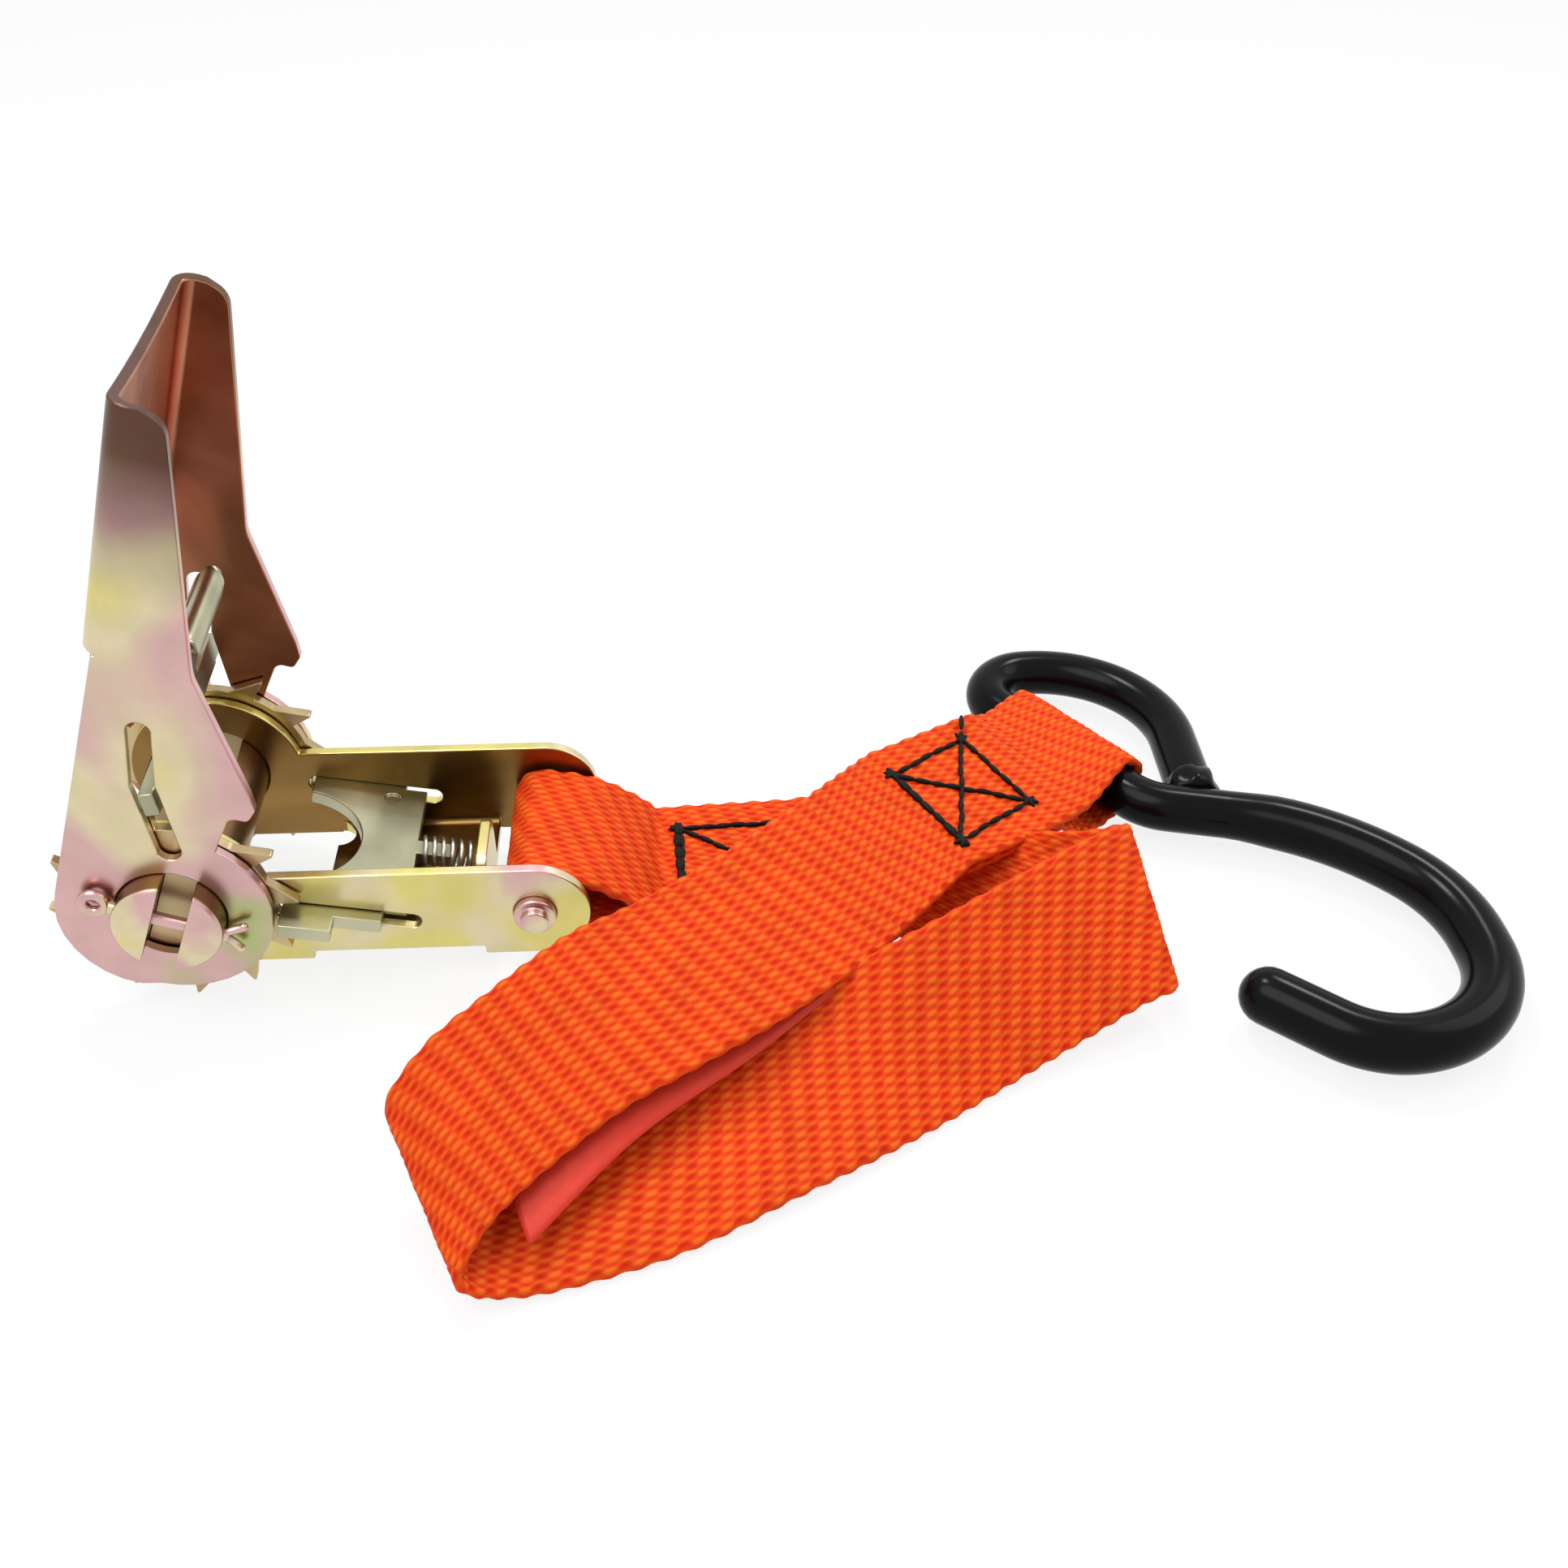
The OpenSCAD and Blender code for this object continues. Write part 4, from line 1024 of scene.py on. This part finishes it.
class TIEDOWN_OT_stitches(bpy.types.Operator):
    """The two sewn boxes, stitch by stitch"""

    bl_idname = "tiedown.stitches"
    bl_label = "Sewn boxes"

    def execute(self, context):
        strap = settings("strap")
        thread = grained("black thread", srgb(10, 10, 10), 0.6, 0.15, 2500.0, 500.0, 0.08)
        for node, box in BOXES.items():
            lines = box_lines(box["long"] * MM, box["wide"] * MM, [p * MM for p in box["passes"]])
            lines += [[tuple(c * MM for c in point) for point in tail] for tail in box["tails"]]
            piece = stitched(node + "_thread", lines, {
                "Stitch": strap.stitch, "Thread": strap.thread, "Stray": STITCH_STRAY * MM,
                "Seed": box["seed"], "Material": thread})
            go, side, up = patch_frame(box["patch"])
            turn = math.radians(box["skew"])
            ahead = go * math.cos(turn) + side * math.sin(turn)
            aside = side * math.cos(turn) - go * math.sin(turn)
            rest = (np.array(box["patch"]["at"], float) + up * WEB_T / 2) * MM
            rest = rest + up * strap.thread * STITCH_RISE
            piece.data.transform(Matrix([[ahead[k], aside[k], up[k], rest[k]] for k in range(3)]
                                        + [[0, 0, 0, 1]]))
            point_outwards(piece)
            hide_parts(node)
            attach(piece, "strap")
        return {"FINISHED"}


class TIEDOWN_OT_tag(bpy.types.Operator):
    """The blank tag under the strap"""

    bl_idname = "tiedown.tag"
    bl_label = "Blank tag"

    def execute(self, context):
        strap = settings("strap")
        ribbon = Ribbon(ROUTE_TAG, TAG_STEP * MM)
        half = strap.tag_w / 2
        offsets = np.linspace(-half, half, TAG_COLUMNS)
        edge = np.clip((half - np.abs(offsets)) / (TAG_HEM * MM), 0, 1)
        half_t = strap.tag_t / 2 * (TAG_HEM_LEAST + (1 - TAG_HEM_LEAST) * edge)
        piece = ribbon_mesh("blank_tag_cloth", ribbon, offsets, half_t)
        dress(piece, grained("tag cloth", srgb(203, 54, 35), 0.45, 0.25, 1500.0, 80.0, 0.05))
        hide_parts("blank_tag")
        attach(piece, "strap")
        return {"FINISHED"}


class TIEDOWN_OT_hook(bpy.types.Operator):
    """The bent rod with its welded eye and its dipped hook"""

    bl_idname = "tiedown.hook"
    bl_label = "Dipped hook"

    def execute(self, context):
        eye, _ = plan_path(EYE_PATH, HOOK_AT, HOOK_TURN)
        shank, shank_aim = plan_path(SHANK_PATH, HOOK_AT, HOOK_TURN - 180)
        slope = math.tan(math.radians(shank_aim))
        weld_y = shank[-1][1] + (eye[-1][0] - shank[-1][0]) * slope
        foot_y = (weld_y + ROD_R / math.cos(math.radians(shank_aim))
                  + (ROD_R + WELD_R / 2) * abs(slope) + 3 * FIXED_FIT)
        leg, _ = plan_path(EYE_PATH + [(eye[-1][1] - foot_y, 0)], HOOK_AT, HOOK_TURN)
        bare, _ = plan_path(SHANK_PATH + DIP_PATH, HOOK_AT, HOOK_TURN - 180)
        dip, _ = plan_path(DIP_PATH, shank[-1], shank_aim)

        rod = tube("hook_rod_bent", raised(np.vstack([leg[::-1], bare[1:]]), HOOK_Z), ROD_R * MM)
        black = hook_black("black rod", 300.0, 50.0)
        dress(rod, black)
        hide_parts("hook_rod")

        line, radii = round_end(raised(dip, HOOK_Z), (ROD_R + FIXED_FIT + DIP_T) * MM)
        share = np.clip(run_along(line) / (DIP_RUN_OUT * MM), 0, 1)
        radii = radii - (DIP_T + FIXED_FIT + DIP_SINK) * MM * (1 - share**2 * (3 - 2 * share))
        coat = dress(tube("hook_coating_dip", line, radii), hook_black("vinyl dip", 260.0, 45.0))
        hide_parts("hook_coating")

        weld = dress(weld_bead(eye[-1][0], foot_y), black)
        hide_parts("eye_weld")
        for piece, slot in ((rod, "black_rod"), (coat, "vinyl"), (weld, "black_rod")):
            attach(piece, "hook")
        return {"FINISHED"}


def weld_bead(x, y):
    """A lumpy bead of weld between the foot of the eye's leg and the shank under it."""
    rise = np.linspace(*WELD_RISE, WELD_RINGS)
    line = np.column_stack([np.full(WELD_RINGS, x), y + rise * WELD_R, np.full(WELD_RINGS, HOOK_Z)]) * MM
    girth = ROD_R + WELD_R * (WELD_BULGE * np.sqrt(np.clip(1 - rise**2 / WELD_TAPER, 0, 1)) - WELD_SINK)
    piece = tube("eye_weld_bead", line, girth * MM)
    for v in piece.data.vertices:
        out = Vector((v.co.x - x * MM, 0, v.co.z - HOOK_Z * MM))
        turn = math.atan2(out.z, out.x)
        wide, fine = math.sin(5 * turn + 0.6 + v.co.y * 900), math.sin(9 * turn)
        v.co += out * (WELD_LUMPS[0] * wide + WELD_LUMPS[1] * fine)
    return piece


def seen_rays(wire):
    """1 for rays that show the background: from the camera, in gloss and through glass."""
    path = wire.add("ShaderNodeLightPath").outputs
    shown = wire.plus(path["Is Camera Ray"], path["Is Glossy Ray"])
    shown = wire.plus(shown, path["Is Transmission Ray"])
    return wire.math("MINIMUM", shown, 1.0)


class TIEDOWN_OT_stage(bpy.types.Operator):
    """Floor, soft light and the photograph's camera"""

    bl_idname = "tiedown.stage"
    bl_label = "Stage"

    def execute(self, context):
        stage = settings("stage")
        scene = context.scene
        scene.view_settings.view_transform = "Standard"
        low, high = CAD_BOX
        middle = (low + high) / 2

        corners = [(middle.x + FLOOR_REACH * a, middle.y + FLOOR_REACH * b, low.z - FLOOR_DROP)
                   for a, b in ((-1, -1), (1, -1), (1, 1), (-1, 1))]
        floor = add_mesh("floor", corners, [(0, 1, 2, 3)], False)
        made = bpy.data.materials.new("pale floor")
        wire = emptied(made)
        paint = wire.add("ShaderNodeBsdfDiffuse", {"Color": (stage.floor, stage.floor, stage.floor, 1.0)})
        glow = wire.add("ShaderNodeEmission", {"Color": (1, 1, 1, 1), "Strength": 1.0})
        share = wire.times(seen_rays(wire), FLOOR_GLOW)
        mixed = wire.add("ShaderNodeMixShader", {0: share, 1: paint.outputs[0], 2: glow.outputs[0]})
        wire.add("ShaderNodeOutputMaterial", {"Surface": mixed.outputs[0]})
        dress(floor, made)

        world = bpy.data.worlds.new("studio")
        scene.world = world
        wire = emptied(world)
        strength = wire.spread(seen_rays(wire), 0.0, 1.0, stage.ambient, 1.0)
        light = wire.add("ShaderNodeBackground", {"Color": (1, 1, 1, 1), "Strength": strength})
        wire.add("ShaderNodeOutputWorld", {"Surface": light.outputs[0]})

        for name, (x, y, z, size, share) in LAMPS.items():
            lamp = bpy.data.lights.new(name, "AREA")
            lamp.shape, lamp.size, lamp.energy = "DISK", size, stage.key * share
            piece = add_object(name, lamp)
            piece.location = middle.x + x, middle.y + y, z
            piece.rotation_euler = (middle - piece.location).to_track_quat("-Z", "Y").to_euler()

        lens = bpy.data.cameras.new("photograph")
        lens.sensor_width, lens.lens = CAMERA_SENSOR, CAMERA_LENS
        lens.clip_start, lens.clip_end = 0.01, 10.0
        camera = add_object("photograph", lens)
        right, up = Vector(CAMERA_RIGHT).normalized(), Vector(CAMERA_UP).normalized()
        back = right.cross(up)
        camera.matrix_world = Matrix([[right[k], up[k], back[k], CAMERA_AT[k] * MM] for k in range(3)]
                                     + [[0, 0, 0, 1]])
        scene.camera = camera
        return {"FINISHED"}


OPERATORS = (
    TIEDOWN_OT_stage, TIEDOWN_OT_steel, TIEDOWN_OT_pawl_lip, TIEDOWN_OT_springs, TIEDOWN_OT_webbing,
    TIEDOWN_OT_stitches, TIEDOWN_OT_tag, TIEDOWN_OT_hook,
)
GROUPS = {"strap": StrapSettings, "steel": SteelSettings, "hook": HookSettings, "stage": StageSettings}


class TIEDOWN_PT_panel(bpy.types.Panel):
    """Builds the tie down's pieces"""

    bl_idname = "TIEDOWN_PT_panel"
    bl_label = "Ratchet tie down"
    bl_space_type = "VIEW_3D"
    bl_region_type = "UI"
    bl_category = "Tie down"

    def draw(self, context):
        for operator in OPERATORS:
            self.layout.operator(operator.bl_idname)
        for name, group in GROUPS.items():
            box = self.layout.box()
            for key in group.__annotations__:
                box.prop(settings(name), key)


CLASSES = (*GROUPS.values(), *OPERATORS, TIEDOWN_PT_panel)


def register():
    for made in CLASSES:
        bpy.utils.register_class(made)
    for name, group in GROUPS.items():
        setattr(bpy.types.Scene, "tie_down_" + name, bpy.props.PointerProperty(type=group))


def unregister():
    for name in GROUPS:
        delattr(bpy.types.Scene, "tie_down_" + name)
    for made in reversed(CLASSES):
        bpy.utils.unregister_class(made)


def main():
    register()
    bpy.ops.tiedown.stage()
    bpy.ops.tiedown.steel()
    bpy.ops.tiedown.pawl_lip()
    bpy.ops.tiedown.springs()
    bpy.ops.tiedown.webbing()
    bpy.ops.tiedown.stitches()
    bpy.ops.tiedown.tag()
    bpy.ops.tiedown.hook()


if __name__ == "__main__":
    main()
